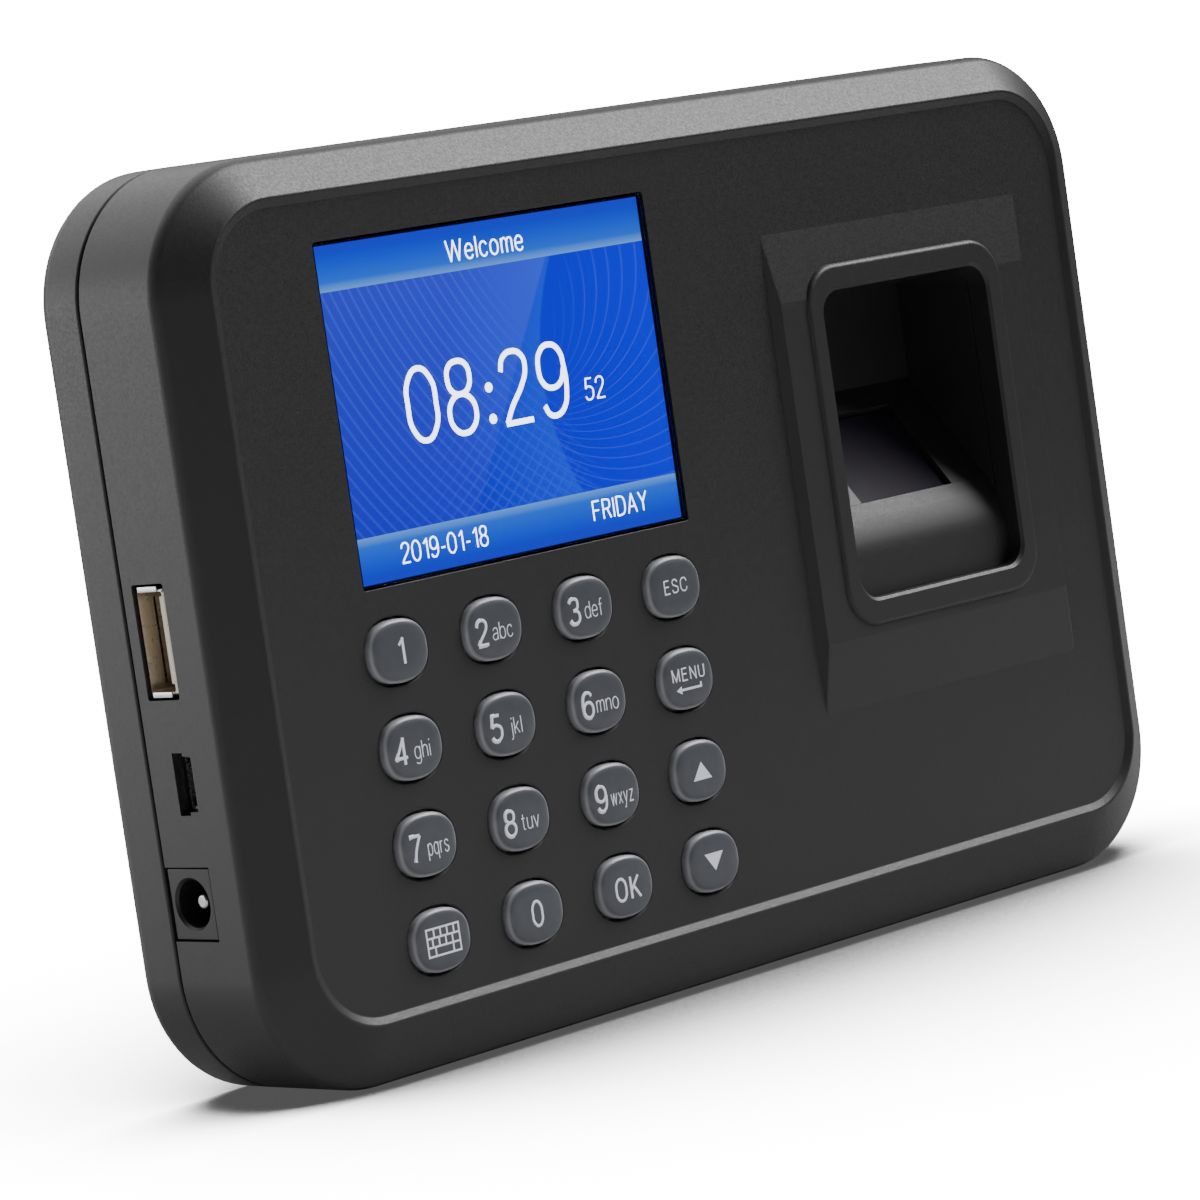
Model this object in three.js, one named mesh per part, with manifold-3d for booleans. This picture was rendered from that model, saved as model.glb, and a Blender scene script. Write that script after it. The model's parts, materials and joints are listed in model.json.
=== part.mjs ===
// Fingerprint scanner terminal: a shallow two-part plastic case with a colour display, a keypad of
// sixteen travelling keys, a recessed finger window and three sockets on its left side.
// Millimetres. +X is right as the user faces the terminal, +Y runs from the face into the case, +Z is up.
// The origin is the middle of the bottom face. Depths are counted from the face panel towards the back.

import * as THREE from 'three';
import { mergeVertices } from 'three/addons/utils/BufferGeometryUtils.js';
import Module from 'manifold-3d';

const wasm = await Module();
wasm.setup();

// Case
const FACE_Y = -12.5;
const CASE_HEIGHT = 118;
const CASE_HALF_WIDTH = 86.3;
const CASE_CORNER = 17.3;
const CASE_DEPTH = 26.5;
const SEAM_DEPTH = 17.5;
const CHAMFER_DEPTH = 3.3;
const CHAMFER_DRAFT = 0.3;
const WALL = 2.2;
const GAP = 0.3;
const COVER_EDGE = 3;
const COVER_EXTRA_WALL = 1.2;
const CORNER_STEPS = 6;

// Rim round the sunk face panel
const RIM_HEIGHT = 0.6;
const RIM_HALF_WIDTH = 79.8;
const RIM_BOTTOM = 8;
const RIM_TOP = 112.5;
const RIM_CORNER = 12;
const RIM_WIDTH = 0.6;

// Display
const SCREEN = { left: -61.6, right: -4, bottom: 62.4, top: 105.6 };
const SCREEN_CUT_MARGIN = 0.45;
const LCD = { left: -65.6, right: 3.6, bottom: 59.7, top: 109, front: 2.5, back: 5 };
const LCD_FACE_DEPTH = 0.9;
const LCD_FRAME_WALL = 0.5;
const WINDOW_DEPTH = 0.25;
const WINDOW_THICKNESS = 0.35;
const FLEX = { bottom: 76, top: 92, thickness: 0.3, depth: 3.75, returnDepth: 6.45, reach: 4 };
const FLEX_SLOT = { front: 3.2, back: 4.3, margin: 0.5 };
const LCD_CONNECTOR = { width: 4, front: 6, back: 7, margin: 1 };

// Keys
const KEY_COLUMNS = [-58.2, -41.7, -25.2, -8.7];
const KEY_ROWS = [53.8, 41.4, 29, 16.7];
const KEY_NAMES = [
  ['1', '2', '3', 'esc'],
  ['4', '5', '6', 'menu'],
  ['7', '8', '9', 'up'],
  ['input', '0', 'ok', 'down'],
];
const KEY_HALF_WIDTH = 4.95;
const KEY_HALF_HEIGHT = 4.05;
const KEY_POWER = 2.6;
const KEY_STEPS = 20;
const KEY_CLEARANCE = 0.35;
const KEY_PROUD = 0.9;
const KEY_DOME = 0.3;
const KEY_FLANGE = { margin: 0.7, front: 2.5, back: 3.3 };
const KEY_STEM = { radius: 1.8, back: 3.9 };
const MAT = { left: -65, right: -2, bottom: 10, top: 58.5, front: 6.2, back: 7 };
const MAT_DOME = { height: 0.9, top: 2.2, base: 3 };

// Finger window
const PAD = { left: 17.4, right: 70, bottom: 31.6, top: 97.6, height: 0.9 };
const PAD_SLOPE = { side: 1.2, end: 9.5 };
const RING = { left: 23.4, right: 63.6, bottom: 42.1, top: 92.3, corner: 6, height: 1.5 };
const WELL = { left: 26.6, right: 60.4, bottom: 45.9, top: 88.7, corner: 3.4, back: 16 };
const GUIDE_WALL = 1.7;
const SILL = { depth: 0.9, top: 52.6, roundDepth: 1.7, roundTop: 55 };
const RAMP_ANGLE = THREE.MathUtils.degToRad(50.6);
const RAMP_FOOT = { depth: 3.7, height: 58.6 };
const RAMP_THICKNESS = 1.6;
const RAMP_UNDERSIDE = { depth: 4.3, bottom: 45, top: 54.6 };
const WELL_ROOF_DROP = 1.5;
const TROUGH = { width: 18.9, length: 15.5 };
const GLASS = { sunk: 0.9, thickness: 1.6 };
const SENSOR = { width: 17.6, earWidth: 27, earLength: 8, length: 17, ear: 1.5, thickness: 5.5 };
const SENSOR_BOARD = { width: 22, thickness: 1.2 };
const SENSOR_SCREW_X = 11.3;

// Main board and the sockets behind its left edge
const BOARD = { left: -82, right: 15, bottom: 8, top: 110, front: 7.3, back: 8.9 };
const BOARD_NOTCH = { x: -69.3, bottom: 18, top: 100 };
const BOARD_SCREWS = [[-72, 35], [-72, 86], [11, 86], [11, 14]];
const BOARD_POST = { radius: 2.4, pilotFloor: 4 };
const SIDE_X = -86;
const USB_A = { bottom: 53.4, top: 66.8, front: 9.8, back: 15.2, length: 14, wall: 0.4 };
const MINI_USB = { bottom: 38.8, top: 45.6, front: 9.6, back: 12.3, length: 8.5, wall: 0.35 };
const USB_A_TONGUE = { front: 10.7, back: 12.5, side: 1.2, setBack: 1.5 };
const USB_A_CUT_MARGIN = 0.6;
const MINI_USB_SET_BACK = 1.5;
const MINI_USB_TONGUE = { front: 10.6, back: 11.3, side: 1.4, setBack: 1.2 };
const DC_JACK = { bottom: 22.5, top: 31.5, front: 9.2, back: 17.3, length: 13.5, bore: 3.1, pin: 1 };
const DC_JACK_CUT_MARGIN = 0.2;
const DC_JACK_END_WALL = 2;
const DC_PIN_SET_BACK = 1.5;

// Screws
const CASE_SCREWS = [[-74, 13], [74, 13], [-74, 105], [74, 105]];
const CASE_BOSS = { radius: 3.8, pilotFloor: 8 };
const COVER_BOSS_RADIUS = 5;
const CASE_SCREW = { shank: 1.5, head: 2.9, headHeight: 2, length: 12 };
const COUNTERBORE = { radius: 3.5, floor: 21.5 };
const BOARD_SCREW = { shank: 1.1, head: 2.3, headHeight: 1.4, length: 4.5 };
const SENSOR_SCREW = { shank: 0.9, head: 1.7, headHeight: 1, length: 3.5 };
const SCREW_CLEARANCE = 0.35;
const SCREW_STEPS = 10;
const ROUND_STEPS = 20;

// Parts on the back of the board and on the rear cover
const SPEAKER = { x: 44, z: 24, radius: 13, back: 23.9, rim: 1.6, depth: 6.4, magnet: 7.5, dust: 4 };
const GRILLE = { count: 5, pitch: 3.6, length: 17, width: 1.8 };
const COIN_CELL = { x: -38, z: 88, radius: 10, thickness: 3.2, cup: 11.6, cupFloor: 0.8 };
const CHIPS = {
  processor_chip: { x: -30, z: 58, width: 14, thickness: 1.4 },
  memory_chip: { x: -9, z: 58, width: 8, thickness: 1.1 },
};
const KEYHOLES = { x: 46, z: 90, radius: 4.6, slot: 2.3, rise: 9 };
const LABEL = { halfWidth: 30, bottom: 44, top: 76, depth: 0.4 };
const CABLE_PATH = [[9, 9.4], [16, 9.5], [19, 11], [21, 15], [23.5, 20], [27, 22], [34, 22]];
const CABLE = { bottom: 52, width: 8 };

const SCENE = new THREE.Group();

// ---------- materials ----------

function plastic(color, roughness = 0.6) {
  return new THREE.MeshStandardMaterial({ color, roughness, metalness: 0 });
}

function metal(color, roughness = 0.35) {
  return new THREE.MeshStandardMaterial({ color, roughness, metalness: 1 });
}

const CASE_PLASTIC = plastic(0x2b2b2d, 0.62);
const BLACK_PLASTIC = plastic(0x101012, 0.5);
const KEY_PLASTIC = plastic(0x6a6d72, 0.4);
const SILICONE = plastic(0xb9bcc0, 0.7);
const BOARD_GREEN = plastic(0x14532d, 0.5);
const GLASS_BLUE = plastic(0x1222d8, 0.1);
const CLEAR_WINDOW = plastic(0x9fb4c8, 0.05);
const SENSOR_GLASS = plastic(0x5a4a66, 0.05);
const FLEX_AMBER = plastic(0xb5701c, 0.5);
const STEEL = metal(0xb8bcc2);
const GOLD = metal(0xc9a24a);

// ---------- solids ----------

function solid(geometry) {
  const bare = geometry.clone();
  bare.deleteAttribute('normal');
  bare.deleteAttribute('uv');
  const merged = mergeVertices(bare, 1e-5);
  return new wasm.Manifold(new wasm.Mesh({
    numProp: 3,
    vertProperties: new Float32Array(merged.attributes.position.array),
    triVerts: new Uint32Array(merged.index.array),
  }));
}

function geometryOf(body) {
  const mesh = body.getMesh();
  const geometry = new THREE.BufferGeometry();
  geometry.setAttribute('position', new THREE.BufferAttribute(mesh.vertProperties, 3));
  geometry.setIndex(new THREE.BufferAttribute(mesh.triVerts, 1));
  return geometry;
}

function add(name, body, material) {
  const mesh = new THREE.Mesh(geometryOf(body), material);
  mesh.name = name;
  SCENE.add(mesh);
}

// A box between two x values, two depths and two heights.
function block(left, right, front, back, bottom, top) {
  const geometry = new THREE.BoxGeometry(right - left, back - front, top - bottom);
  geometry.translate((left + right) / 2, FACE_Y + (front + back) / 2, (bottom + top) / 2);
  return solid(geometry);
}

// A round bar along the depth.
function bar(x, z, radius, front, back, steps = ROUND_STEPS, backRadius = radius) {
  const geometry = new THREE.CylinderGeometry(backRadius, radius, back - front, steps);
  geometry.translate(x, FACE_Y + (front + back) / 2, z);
  return solid(geometry);
}

// A flat outline in x and z, run from one depth to another.
function slab(outline, front, back) {
  const geometry = new THREE.ExtrudeGeometry(new THREE.Shape(outline), {
    depth: back - front,
    bevelEnabled: false,
  });
  geometry.rotateX(Math.PI / 2);
  geometry.translate(0, FACE_Y + back, 0);
  return solid(geometry);
}

// A flat outline in depth and z, run from one x to another.
function beam(outline, left, right) {
  const points = outline.map(([depth, z]) => new THREE.Vector2(FACE_Y + depth, z));
  const geometry = new THREE.ExtrudeGeometry(new THREE.Shape(points), {
    depth: right - left,
    bevelEnabled: false,
  });
  geometry.rotateY(Math.PI / 2);
  geometry.rotateX(Math.PI / 2);
  geometry.translate(left, 0, 0);
  return solid(geometry);
}

// A skin through outlines of equal count, from the front one to the back one, closed at both ends.
function loft(layers) {
  const count = layers[0].outline.length;
  const position = [];
  const index = [];
  for (const { depth, outline } of layers) {
    for (const point of outline) {
      position.push(point.x, FACE_Y + depth, point.y);
    }
  }
  for (let layer = 0; layer < layers.length - 1; layer += 1) {
    for (let i = 0; i < count; i += 1) {
      const here = layer * count + i;
      const next = layer * count + ((i + 1) % count);
      index.push(here, here + count, next, next, here + count, next + count);
    }
  }
  const last = (layers.length - 1) * count;
  for (let i = 1; i < count - 1; i += 1) {
    index.push(0, i, i + 1, last, last + i + 1, last + i);
  }
  const geometry = new THREE.BufferGeometry();
  geometry.setAttribute('position', new THREE.Float32BufferAttribute(position, 3));
  geometry.setIndex(index);
  return solid(geometry);
}

// ---------- outlines ----------

function roundedOutline(left, right, bottom, top, corner, steps = CORNER_STEPS) {
  const centres = [
    [right - corner, top - corner],
    [left + corner, top - corner],
    [left + corner, bottom + corner],
    [right - corner, bottom + corner],
  ];
  const points = [];
  centres.forEach(([x, z], quarter) => {
    for (let i = 0; i <= steps; i += 1) {
      const angle = (quarter + i / steps) * Math.PI / 2;
      points.push(new THREE.Vector2(x + corner * Math.cos(angle), z + corner * Math.sin(angle)));
    }
  });
  return points;
}

function rectangle(left, right, bottom, top) {
  return [[right, top], [left, top], [left, bottom], [right, bottom]].map(
    ([x, z]) => new THREE.Vector2(x, z),
  );
}

// The case outline, moved inwards by inset.
function caseOutline(inset) {
  return roundedOutline(
    -CASE_HALF_WIDTH + inset,
    CASE_HALF_WIDTH - inset,
    inset,
    CASE_HEIGHT - inset,
    CASE_CORNER - inset,
  );
}

// The outline at the outer edge of the front chamfer: the bottom stays flat, the rest drafts in.
function chamferOutline(inset) {
  return roundedOutline(
    -CASE_HALF_WIDTH + CHAMFER_DRAFT + inset,
    CASE_HALF_WIDTH - CHAMFER_DRAFT - inset,
    inset,
    CASE_HEIGHT - CHAMFER_DRAFT - inset,
    CASE_CORNER - CHAMFER_DRAFT - inset,
  );
}

function rimOutline(inset) {
  return roundedOutline(
    -RIM_HALF_WIDTH + inset,
    RIM_HALF_WIDTH - inset,
    RIM_BOTTOM + inset,
    RIM_TOP - inset,
    RIM_CORNER - inset,
  );
}

// A softly squared oval.
function keyOutline(x, z, margin) {
  const points = [];
  for (let i = 0; i < KEY_STEPS; i += 1) {
    const angle = (i / KEY_STEPS) * 2 * Math.PI;
    const across = Math.cos(angle);
    const along = Math.sin(angle);
    points.push(new THREE.Vector2(
      x + (KEY_HALF_WIDTH + margin) * Math.sign(across) * Math.abs(across) ** (2 / KEY_POWER),
      z + (KEY_HALF_HEIGHT + margin) * Math.sign(along) * Math.abs(along) ** (2 / KEY_POWER),
    ));
  }
  return points;
}

// A thin strip that follows a path of [a, b] points.
function strip(path, thickness) {
  const points = path.map(([a, b]) => new THREE.Vector2(a, b));
  const left = [];
  const right = [];
  points.forEach((point, i) => {
    const before = points[Math.max(i - 1, 0)];
    const after = points[Math.min(i + 1, points.length - 1)];
    const side = after.clone().sub(before).normalize().multiplyScalar(thickness / 2);
    left.push([point.x - side.y, point.y + side.x]);
    right.unshift([point.x + side.y, point.y - side.x]);
  });
  return [...left, ...right];
}

// ---------- front shell ----------

function faceShellSkin() {
  const outside = loft([
    { depth: -RIM_HEIGHT, outline: rimOutline(0) },
    { depth: CHAMFER_DEPTH, outline: chamferOutline(0) },
    { depth: SEAM_DEPTH, outline: caseOutline(0) },
  ]);
  const inside = loft([
    { depth: WALL, outline: rimOutline(-0.4) },
    { depth: CHAMFER_DEPTH + 1, outline: chamferOutline(WALL) },
    { depth: SEAM_DEPTH + 1, outline: caseOutline(WALL) },
  ]);
  const sunkPanel = loft([
    { depth: -2 * RIM_HEIGHT, outline: rimOutline(0) },
    { depth: 0, outline: rimOutline(2 * RIM_WIDTH) },
  ]);
  return outside.subtract(inside).subtract(sunkPanel);
}

function raisedPad() {
  const base = rectangle(PAD.left, PAD.right, PAD.bottom, PAD.top);
  const crown = rectangle(
    PAD.left + PAD_SLOPE.side,
    PAD.right - PAD_SLOPE.side,
    PAD.bottom + PAD_SLOPE.end,
    PAD.top - PAD_SLOPE.end,
  );
  const ring = roundedOutline(RING.left, RING.right, RING.bottom, RING.top, RING.corner);
  const root = loft([
    { depth: -PAD.height, outline: crown },
    { depth: 0, outline: base },
    { depth: 1, outline: base },
  ]);
  return root.add(slab(ring, -RING.height, 1));
}

function faceOpenings() {
  const well = roundedOutline(WELL.left, WELL.right, WELL.bottom, WELL.top, WELL.corner);
  const margin = SCREEN_CUT_MARGIN;
  const cuts = [
    slab(well, -3, WALL + 1),
    block(
      SCREEN.left - margin,
      SCREEN.right + margin,
      -1,
      WALL + 1,
      SCREEN.bottom - margin,
      SCREEN.top + margin,
    ),
  ];
  for (const x of KEY_COLUMNS) {
    for (const z of KEY_ROWS) {
      cuts.push(slab(keyOutline(x, z, KEY_CLEARANCE), -1, WALL + 1));
    }
  }
  return cuts;
}

function socketCuts() {
  const left = -CASE_HALF_WIDTH - 1;
  const right = -CASE_HALF_WIDTH + WALL + 2;
  const grow = GAP;
  return [
    block(
      left,
      right,
      USB_A.front - grow,
      USB_A.back + grow,
      USB_A.bottom - USB_A_CUT_MARGIN,
      USB_A.top + USB_A_CUT_MARGIN,
    ),
    block(
      left,
      right,
      MINI_USB.front - grow,
      MINI_USB.back + grow,
      MINI_USB.bottom - grow,
      MINI_USB.top + grow,
    ),
    block(
      left,
      right,
      DC_JACK.front - grow,
      SEAM_DEPTH + 1,
      DC_JACK.bottom - DC_JACK_CUT_MARGIN,
      DC_JACK.top + DC_JACK_CUT_MARGIN,
    ),
  ];
}

function faceBosses() {
  const roots = [];
  const pilots = [];
  for (const [x, z] of CASE_SCREWS) {
    const bore = CASE_SCREW.shank + SCREW_CLEARANCE;
    roots.push(bar(x, z, CASE_BOSS.radius, WALL - 0.5, SEAM_DEPTH - 0.2, 16));
    pilots.push(bar(x, z, bore, CASE_BOSS.pilotFloor, SEAM_DEPTH + 1, SCREW_STEPS));
  }
  for (const [x, z] of BOARD_SCREWS) {
    const bore = BOARD_SCREW.shank + SCREW_CLEARANCE;
    roots.push(bar(x, z, BOARD_POST.radius, WALL - 0.5, BOARD.front - GAP, 12));
    pilots.push(bar(x, z, bore, BOARD_POST.pilotFloor, BOARD.front + 1, SCREW_STEPS));
  }
  return { roots, pilots };
}

function frontShell() {
  const { roots, pilots } = faceBosses();
  let shell = faceShellSkin().add(raisedPad());
  for (const root of roots) {
    shell = shell.add(root);
  }
  for (const cut of [...faceOpenings(), ...socketCuts(), ...pilots]) {
    shell = shell.subtract(cut);
  }
  add('front_shell', shell, CASE_PLASTIC);
}

// ---------- rear cover ----------

function keyhole(x) {
  const { z, radius, slot, rise } = KEYHOLES;
  const round = bar(x, z, radius, CASE_DEPTH - WALL - 1, CASE_DEPTH + 1);
  const neck = block(x - slot, x + slot, CASE_DEPTH - WALL - 1, CASE_DEPTH + 1, z, z + rise);
  const end = bar(x, z + rise, slot, CASE_DEPTH - WALL - 1, CASE_DEPTH + 1, 12);
  return round.add(neck).add(end);
}

function speakerGrille() {
  const slots = [];
  for (let i = 0; i < GRILLE.count; i += 1) {
    const z = SPEAKER.z + (i - (GRILLE.count - 1) / 2) * GRILLE.pitch;
    slots.push(block(
      SPEAKER.x - GRILLE.length / 2,
      SPEAKER.x + GRILLE.length / 2,
      CASE_DEPTH - WALL - 1,
      CASE_DEPTH + 1,
      z - GRILLE.width / 2,
      z + GRILLE.width / 2,
    ));
  }
  return slots;
}

function rearCoverSkin() {
  const front = SEAM_DEPTH + GAP;
  const thickWall = WALL + COVER_EXTRA_WALL;
  const outside = loft([
    { depth: front, outline: caseOutline(0) },
    { depth: CASE_DEPTH - COVER_EDGE, outline: caseOutline(0) },
    { depth: CASE_DEPTH - 0.3 * COVER_EDGE, outline: caseOutline(0.3 * COVER_EDGE) },
    { depth: CASE_DEPTH, outline: caseOutline(COVER_EDGE) },
  ]);
  const inside = loft([
    { depth: front - 1, outline: caseOutline(thickWall) },
    { depth: CASE_DEPTH - WALL - 1.5, outline: caseOutline(thickWall) },
    { depth: CASE_DEPTH - WALL, outline: caseOutline(thickWall + 1) },
  ]);
  const lip = slab(caseOutline(WALL + GAP), SEAM_DEPTH - 2, front + 1);
  const lipHollow = slab(caseOutline(thickWall), SEAM_DEPTH - 3, front + 2);
  const jackGap = block(
    -CASE_HALF_WIDTH,
    -CASE_HALF_WIDTH + thickWall + 1,
    SEAM_DEPTH - 3,
    front,
    DC_JACK.bottom - 1,
    DC_JACK.top + 1,
  );
  return outside.subtract(inside).add(lip.subtract(lipHollow).subtract(jackGap));
}

function rearCover() {
  let cover = rearCoverSkin();
  for (const [x, z] of CASE_SCREWS) {
    cover = cover.add(bar(x, z, COVER_BOSS_RADIUS, SEAM_DEPTH + GAP, CASE_DEPTH - 1, 16));
  }
  const cuts = [
    keyhole(-KEYHOLES.x),
    keyhole(KEYHOLES.x),
    ...speakerGrille(),
    block(
      -LABEL.halfWidth,
      LABEL.halfWidth,
      CASE_DEPTH - LABEL.depth,
      CASE_DEPTH + 1,
      LABEL.bottom,
      LABEL.top,
    ),
  ];
  for (const [x, z] of CASE_SCREWS) {
    cuts.push(bar(x, z, COUNTERBORE.radius, COUNTERBORE.floor, CASE_DEPTH + 1, 16));
    cuts.push(bar(x, z, CASE_SCREW.shank + SCREW_CLEARANCE, SEAM_DEPTH - 1, CASE_DEPTH, SCREW_STEPS));
  }
  for (const cut of cuts) {
    cover = cover.subtract(cut);
  }
  add('rear_cover', cover, CASE_PLASTIC);
}

// ---------- display ----------

function displayWindow() {
  const edge = SCREEN_CUT_MARGIN - GAP;
  const back = WINDOW_DEPTH + WINDOW_THICKNESS;
  const { left, right, bottom, top } = SCREEN;
  add(
    'display_window',
    block(left - edge, right + edge, WINDOW_DEPTH, back, bottom - edge, top + edge),
    CLEAR_WINDOW,
  );
}

function lcdPanel() {
  const body = block(LCD.left, LCD.right, LCD.front, LCD.back, LCD.bottom, LCD.top);
  const face = block(
    SCREEN.left,
    SCREEN.right,
    LCD_FACE_DEPTH,
    LCD.front + 1,
    SCREEN.bottom,
    SCREEN.top,
  );
  add('lcd_panel', body.add(face), GLASS_BLUE);
}

function lcdFrame() {
  const inner = GAP;
  const outer = GAP + LCD_FRAME_WALL;
  const tray = block(
    LCD.left - outer,
    LCD.right + outer,
    LCD.front,
    LCD.back + outer,
    LCD.bottom - outer,
    LCD.top + outer,
  );
  const hollow = block(
    LCD.left - inner,
    LCD.right + inner,
    LCD.front - 1,
    LCD.back + inner,
    LCD.bottom - inner,
    LCD.top + inner,
  );
  const flexSlot = block(
    LCD.right,
    LCD.right + 2,
    FLEX_SLOT.front,
    FLEX_SLOT.back,
    FLEX.bottom - FLEX_SLOT.margin,
    FLEX.top + FLEX_SLOT.margin,
  );
  add('lcd_frame', tray.subtract(hollow).subtract(flexSlot), STEEL);
}

// The display's flex leaves the panel's right edge, turns back and ends in a low connector.
function lcdFlex() {
  const start = LCD.right + GAP;
  const { depth, returnDepth, reach } = FLEX;
  const path = [
    [start, depth],
    [start + 2.2, depth],
    [start + 3.2, depth + 0.45],
    [start + 3.5, (depth + returnDepth) / 2],
    [start + 3.2, returnDepth - 0.45],
    [start + 2.2, returnDepth],
    [start - reach, returnDepth],
  ];
  const outline = strip(path, FLEX.thickness).map(([x, d]) => new THREE.Vector2(x, FACE_Y + d));
  const geometry = new THREE.ExtrudeGeometry(new THREE.Shape(outline), {
    depth: FLEX.top - FLEX.bottom,
    bevelEnabled: false,
  });
  geometry.translate(0, 0, FLEX.bottom);
  add('lcd_flex', solid(geometry), FLEX_AMBER);
  const { width, front, back, margin } = LCD_CONNECTOR;
  const end = start - reach - GAP;
  const housing = block(end - width, end, front, back, FLEX.bottom - margin, FLEX.top + margin);
  add('lcd_connector', housing, SILICONE);
}

// ---------- keypad ----------

function key(name, x, z) {
  const cap = loft([
    { depth: -KEY_PROUD, outline: keyOutline(x, z, -0.8) },
    { depth: KEY_DOME - KEY_PROUD, outline: keyOutline(x, z, 0) },
    { depth: KEY_FLANGE.front + 0.2, outline: keyOutline(x, z, 0) },
  ]);
  const flange = slab(keyOutline(x, z, KEY_FLANGE.margin), KEY_FLANGE.front, KEY_FLANGE.back);
  const stem = bar(x, z, KEY_STEM.radius, KEY_FLANGE.back - 0.2, KEY_STEM.back, 10);
  add(`key_${name}`, cap.add(flange).add(stem), KEY_PLASTIC);
}

function keys() {
  KEY_NAMES.forEach((names, row) => {
    names.forEach((name, column) => key(name, KEY_COLUMNS[column], KEY_ROWS[row]));
  });
}

// The rubber mat has one low dome under each key.
function keypadMat() {
  let mat = block(MAT.left, MAT.right, MAT.front, MAT.back, MAT.bottom, MAT.top);
  for (const x of KEY_COLUMNS) {
    for (const z of KEY_ROWS) {
      const top = MAT.front - MAT_DOME.height;
      mat = mat.add(bar(x, z, MAT_DOME.top, top, MAT.front + 0.2, 10, MAT_DOME.base));
    }
  }
  add('keypad_mat', mat, SILICONE);
}

// ---------- finger window ----------

// Moves a body made round the origin onto the ramp: its y runs up the slope and its z stands out of it.
function onRamp(geometry) {
  const along = TROUGH.length / 2;
  geometry.rotateX(RAMP_ANGLE);
  geometry.translate(
    (WELL.left + WELL.right) / 2,
    FACE_Y + RAMP_FOOT.depth + along * Math.cos(RAMP_ANGLE),
    RAMP_FOOT.height + along * Math.sin(RAMP_ANGLE),
  );
  return solid(geometry);
}

function rampBlock(width, length, low, high) {
  const geometry = new THREE.BoxGeometry(width, length, high - low);
  geometry.translate(0, 0, (low + high) / 2);
  return onRamp(geometry);
}

function rampBar(x, radius, low, high) {
  const geometry = new THREE.CylinderGeometry(radius, radius, high - low, SCREW_STEPS);
  geometry.rotateX(Math.PI / 2);
  geometry.translate(x, 0, (low + high) / 2);
  return onRamp(geometry);
}

// The moulded well that guides the finger: a low sill, a ramp that holds the sensor, and a roof.
function fingerGuide() {
  const slope = Math.tan(RAMP_ANGLE);
  const rampTop = RAMP_FOOT.height + (WELL.back - RAMP_FOOT.depth) * slope;
  const back = WELL.back + GUIDE_WALL;
  const under = {
    depth: RAMP_FOOT.depth + RAMP_THICKNESS * Math.sin(RAMP_ANGLE),
    height: RAMP_FOOT.height - RAMP_THICKNESS * Math.cos(RAMP_ANGLE),
  };
  const frontFace = WALL + GAP;
  const outer = block(
    WELL.left - GUIDE_WALL,
    WELL.right + GUIDE_WALL,
    frontFace,
    back,
    WELL.bottom - GUIDE_WALL - 0.8,
    WELL.top + GUIDE_WALL,
  );
  const sillOutline = roundedOutline(
    WELL.left + GAP,
    WELL.right - GAP,
    WELL.bottom + GAP,
    SILL.top + 10,
    WELL.corner,
  );
  const sill = slab(sillOutline, SILL.depth, frontFace + 1);
  const air = beam([
    [-3, WELL.bottom - 1],
    [SILL.depth, WELL.bottom - 1],
    [SILL.depth, SILL.top],
    [SILL.roundDepth, SILL.roundTop],
    [RAMP_FOOT.depth, RAMP_FOOT.height],
    [WELL.back, rampTop],
    [WELL.back, WELL.top - WELL_ROOF_DROP],
    [frontFace, WELL.top],
    [-3, WELL.top],
  ], WELL.left, WELL.right);
  const underside = beam([
    [RAMP_UNDERSIDE.depth, RAMP_UNDERSIDE.bottom],
    [RAMP_UNDERSIDE.depth, RAMP_UNDERSIDE.top],
    [under.depth, under.height],
    [back + 1, under.height + (back + 1 - under.depth) * slope],
    [back + 1, RAMP_UNDERSIDE.bottom],
  ], WELL.left, WELL.right);
  const trough = rampBlock(TROUGH.width, TROUGH.length, -4, 2);
  let guide = outer.add(sill).subtract(air).subtract(underside).subtract(trough);
  for (const side of [-1, 1]) {
    const hole = rampBar(side * SENSOR_SCREW_X, SENSOR_SCREW.shank + SCREW_CLEARANCE, -3, -0.6);
    guide = guide.subtract(hole);
  }
  add('finger_guide', guide, BLACK_PLASTIC);
}

function fingerSensor() {
  const glassLow = -GLASS.sunk - GLASS.thickness;
  const earTop = glassLow - GAP;
  const low = earTop - SENSOR.thickness;
  const glass = rampBlock(TROUGH.width - 2 * GAP, TROUGH.length - 2 * GAP, glassLow, -GLASS.sunk);
  add('sensor_glass', glass, SENSOR_GLASS);
  let housing = rampBlock(SENSOR.width, SENSOR.length, low, earTop);
  housing = housing.add(rampBlock(SENSOR.earWidth, SENSOR.earLength, earTop - SENSOR.ear, earTop));
  for (const side of [-1, 1]) {
    const hole = rampBar(side * SENSOR_SCREW_X, SENSOR_SCREW.shank + SCREW_CLEARANCE, low, 0);
    housing = housing.subtract(hole);
  }
  add('sensor_housing', housing, BLACK_PLASTIC);
  const boardBottom = low - GAP - SENSOR_BOARD.thickness;
  add('sensor_board', rampBlock(SENSOR_BOARD.width, SENSOR.length, boardBottom, low - GAP), BOARD_GREEN);
  [-1, 1].forEach((side, i) => {
    const { shank, head, headHeight, length } = SENSOR_SCREW;
    const x = side * SENSOR_SCREW_X;
    const headTop = earTop - SENSOR.ear - GAP;
    const rod = rampBar(x, shank, headTop - 0.2, headTop + length);
    const cap = rampBar(x, head, headTop - headHeight, headTop);
    add(`sensor_screw_${i + 1}`, rod.add(cap), STEEL);
  });
}

// ---------- board, chips and sockets ----------

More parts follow.
